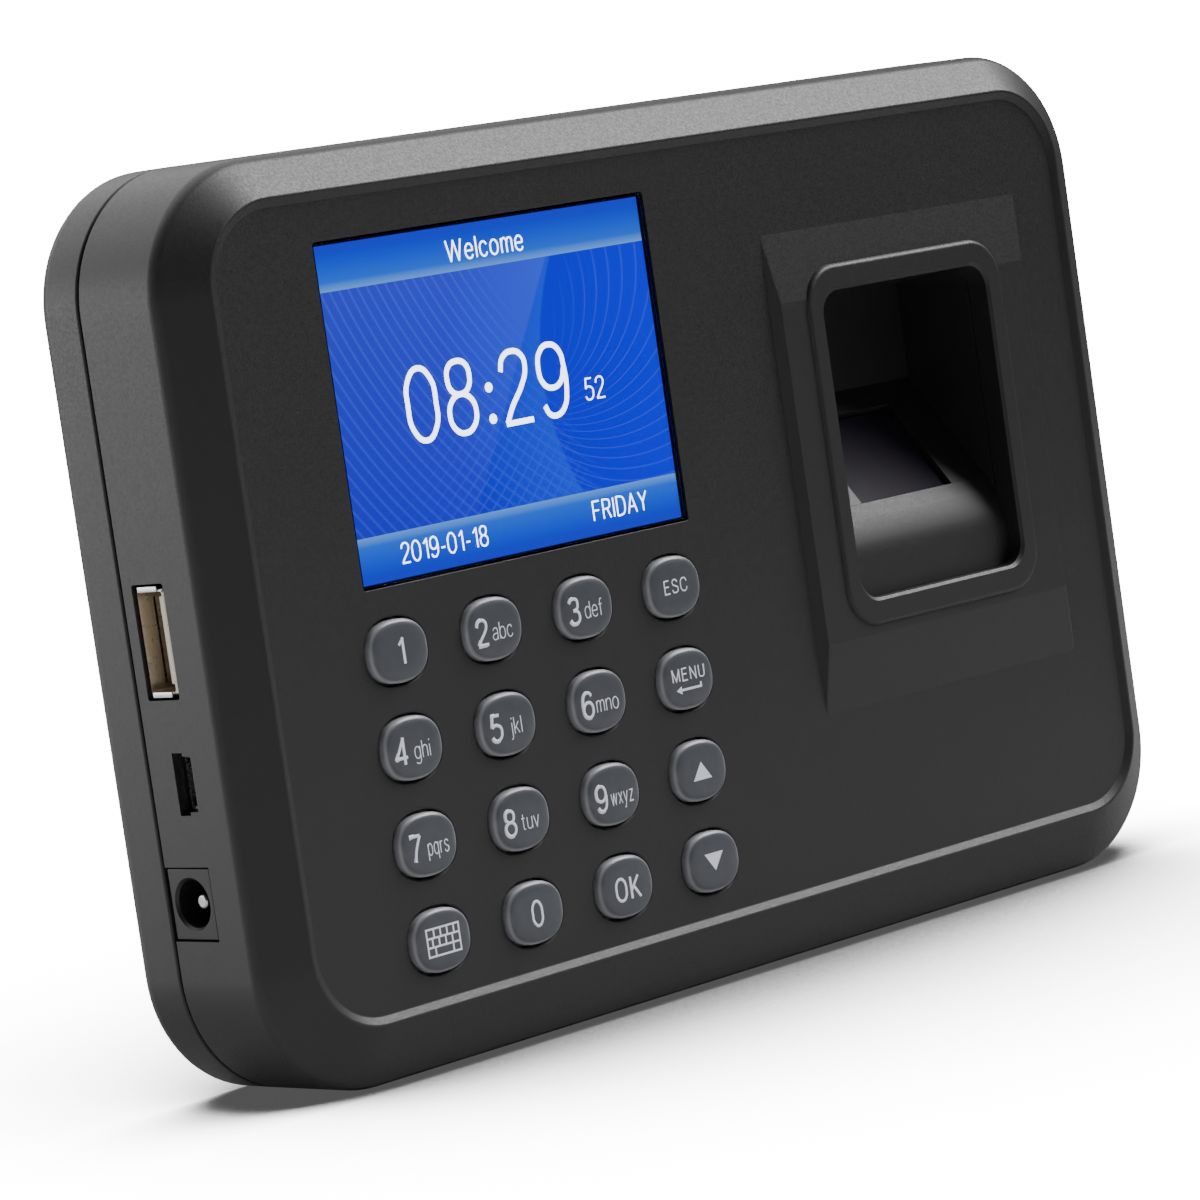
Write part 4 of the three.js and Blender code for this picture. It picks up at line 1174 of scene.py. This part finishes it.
def dc_socket():
    """A flush square body with a flared round bore and a centre pin."""
    left, right, front, back, bottom, top = node_box("dc_jack_body")
    depth, z = (front + back) / 2, (bottom + top) / 2
    body = block("dc_jack", left, right, front, back, bottom, top)
    bevel_all(body, 0.15, 2)
    bore = side_bar("bore", 3.1, left + 0.4, right - 2, depth, z, 64)
    mouth = side_bar("mouth", 3.1, left - 1, left + 0.4, depth, z, 64)
    edit(mouth)
    choose("FACE", lambda face: all(v.co.x < (left - 0.5) * MM for v in face.verts))
    bpy.ops.transform.resize(value=(1, 1.35, 1.35))
    leave()
    cut(body, mouth)
    cut(body, bore)
    coat(smooth(body), BLACK, stands_for=["dc_jack_body"])
    left, right, front, back, bottom, top = node_box("dc_jack_pin")
    pin = side_bar("dc_pin", (top - bottom) / 2, left, right, depth, z, 32)
    bevel_all(pin, 0.4, 4)
    coat(smooth(pin), STEEL, stands_for=["dc_jack_pin"])


# ---------- screws ----------

def cross_screw(node):
    """A pan-head screw with a cross recess, standing where the CAD screw is."""
    _, _, front, back, bottom, top = node_box(node)
    x, z = node_middle(node)
    head = (top - bottom) / 2
    head_height = 2 if head > 2.5 else 1.4
    shank = 1.5 if head > 2.5 else 1.1
    screw = round_bar(node + "_head", x, z, head, back - head_height, back, 40)
    edit(screw)
    bevel_outline(back, head_height * 0.55, 5)
    leave()
    rod = round_bar("rod", x, z, shank, front, back - head_height + 0.1, 24)
    unite(screw, rod)
    for across, upright in ((head * 0.62, 0.28), (0.28, head * 0.62)):
        slot = block("slot", x - across, x + across, back - 0.9, back + 1, z - upright, z + upright)
        cut(screw, slot)
    coat(smooth(screw), STEEL, stands_for=[node])


def screws():
    """The four case screws and the four board screws."""
    for kind in ("case", "board"):
        for i in range(1, 5):
            cross_screw(f"{kind}_screw_{i}")


# ---------- CAD nodes that stay, and the scene ----------

def coat_nodes():
    """Gives the CAD nodes that stay visible their materials by slot."""
    slots = {part["node"]: part["material_slot"] for part in frame["record"]["subparts"]}
    for name, piece in NODES.items():
        piece.data.materials.clear()
        piece.data.materials.append(NODE_MATERIALS[slots[name]])


def floor_and_backdrop():
    """A wide pale sheet that shows as white to the camera, with a painted soft shadow round the terminal, and
    lights the terminal only softly.
    """
    bpy.ops.object.select_all(action="DESELECT")
    bpy.ops.mesh.primitive_plane_add(size=40, location=(0, 0, 0))
    floor = named("floor")
    edit(floor)
    bpy.ops.mesh.subdivide(number_cuts=3)
    leave()
    finish = Finish("pale_floor")
    cloud = finish.noise(400, 2)
    seen = finish.add("ShaderNodeLightPath").outputs["Is Camera Ray"]
    # Painted shadow: what the camera sees of the floor is dimmed where the terminal closes it in (ambient
    # occlusion within SHADOW_REACH), whatever the lamps do.
    open_sky = finish.add("ShaderNodeAmbientOcclusion", samples=24)
    open_sky.inputs["Distance"].default_value = SHADOW_REACH
    shade = finish.math("POWER", finish.spread(open_sky.outputs["AO"], 0, 1, 0.44, 0.93), 2.2)
    seen_white = finish.add("ShaderNodeEmission")
    finish.join(finish.mix(cloud, (0.98, 0.98, 0.98), (1, 1, 1)), seen_white.inputs["Color"])
    finish.join(finish.math("MULTIPLY_ADD", shade, FLOOR_WHITE, FLOOR_SHADOW), seen_white.inputs["Strength"])
    soft = finish.add("ShaderNodeBsdfDiffuse")
    # For other rays the floor is painted dark from 0.3 m out ahead of the terminal and to its right. This
    # painted shade stands in for a dark studio round the camera, which the face panel reflects.
    place = finish.parts(finish.place)
    ahead = finish.minus(place["X"], place["Y"])
    grey = finish.mix(cloud, (0.5, 0.5, 0.5), (0.54, 0.54, 0.54))
    finish.join(finish.mix(finish.spread(ahead, 0, 1, 0.3, 0.6), grey, (0.015, 0.015, 0.015)),
                soft.inputs["Color"])
    either = finish.add("ShaderNodeMixShader")
    finish.join(seen, either.inputs[0])
    finish.join(soft.outputs[0], either.inputs[1])
    finish.join(seen_white.outputs[0], either.inputs[2])
    finish.join(either.outputs[0], finish.tree.nodes["Material Output"].inputs["Surface"])
    finish.tree.nodes.remove(finish.shader)
    floor.data.materials.append(finish.material)


def world_light():
    """A faint even light from all round, that the camera sees as white."""
    world = bpy.data.worlds.new("studio")
    bpy.context.scene.world = world
    world.use_nodes = True
    tree = world.node_tree
    background = tree.nodes["Background"]
    path = tree.nodes.new("ShaderNodeLightPath")
    strength = tree.nodes.new("ShaderNodeMix")
    strength.data_type = "FLOAT"
    tree.links.new(path.outputs["Is Camera Ray"], strength.inputs[0])
    strength.inputs[2].default_value = WORLD_SOFT
    strength.inputs[3].default_value = FLOOR_WHITE
    tree.links.new(strength.outputs[0], background.inputs["Strength"])
    background.inputs["Color"].default_value = (1, 1, 1, 1)


def lamp(name, kind, place, aim):
    """A light of a kind at a place, turned towards an aim."""
    light = bpy.data.lights.new(name, kind)
    piece = bpy.data.objects.new(name, light)
    bpy.context.scene.collection.objects.link(piece)
    piece.location = place
    piece.rotation_euler = (Vector(aim) - Vector(place)).to_track_quat("-Z", "Y").to_euler()
    return light


def far_light(name, direction, strength, spread):
    """Sunlight-like light from a direction, softened by a spread in degrees."""
    light = lamp(name, "SUN", direction, (0, 0, 0))
    light.energy = strength
    light.angle = math.radians(spread)


def softbox(name, place, aim, width, height, power):
    light = lamp(name, "AREA", place, aim)
    light.shape = "RECTANGLE"
    light.size, light.size_y = width, height
    light.energy = power


def lights():
    """A broad key from the upper right front, one behind, and a softbox for the left wall."""
    far_light("key", (0.65, -0.34, 0.68), 4.0, 34)
    far_light("behind", (0.05, 0.6, 0.8), 2.5, 80)
    softbox("left_wall", (-0.75, 0.75, 0.06), (0, 0, 0.02), 0.9, 0.8, 7.5)


def camera():
    """A long lens a little under half a metre to the left, rolled so that the terminal leans."""
    data = bpy.data.cameras.new("camera")
    data.lens = 151.1
    data.sensor_width = 36
    data.clip_end = 50
    view = bpy.data.objects.new("camera", data)
    bpy.context.scene.collection.objects.link(view)
    right = Vector((0.70768, -0.69192, -0.14296))
    up = Vector((0.16514, -0.03475, 0.98566))
    back = right.cross(up)
    turn = Matrix((right, up, back)).transposed().to_4x4()
    view.matrix_world = Matrix.Translation((-0.47446, -0.48763, 0.11331)) @ turn
    bpy.context.scene.camera = view


camera()
coat_nodes()
front_shell()
rear_cover()
display()
keypad()
finger_well()
usb_socket()
dc_socket()
screws()
floor_and_backdrop()
world_light()
lights()
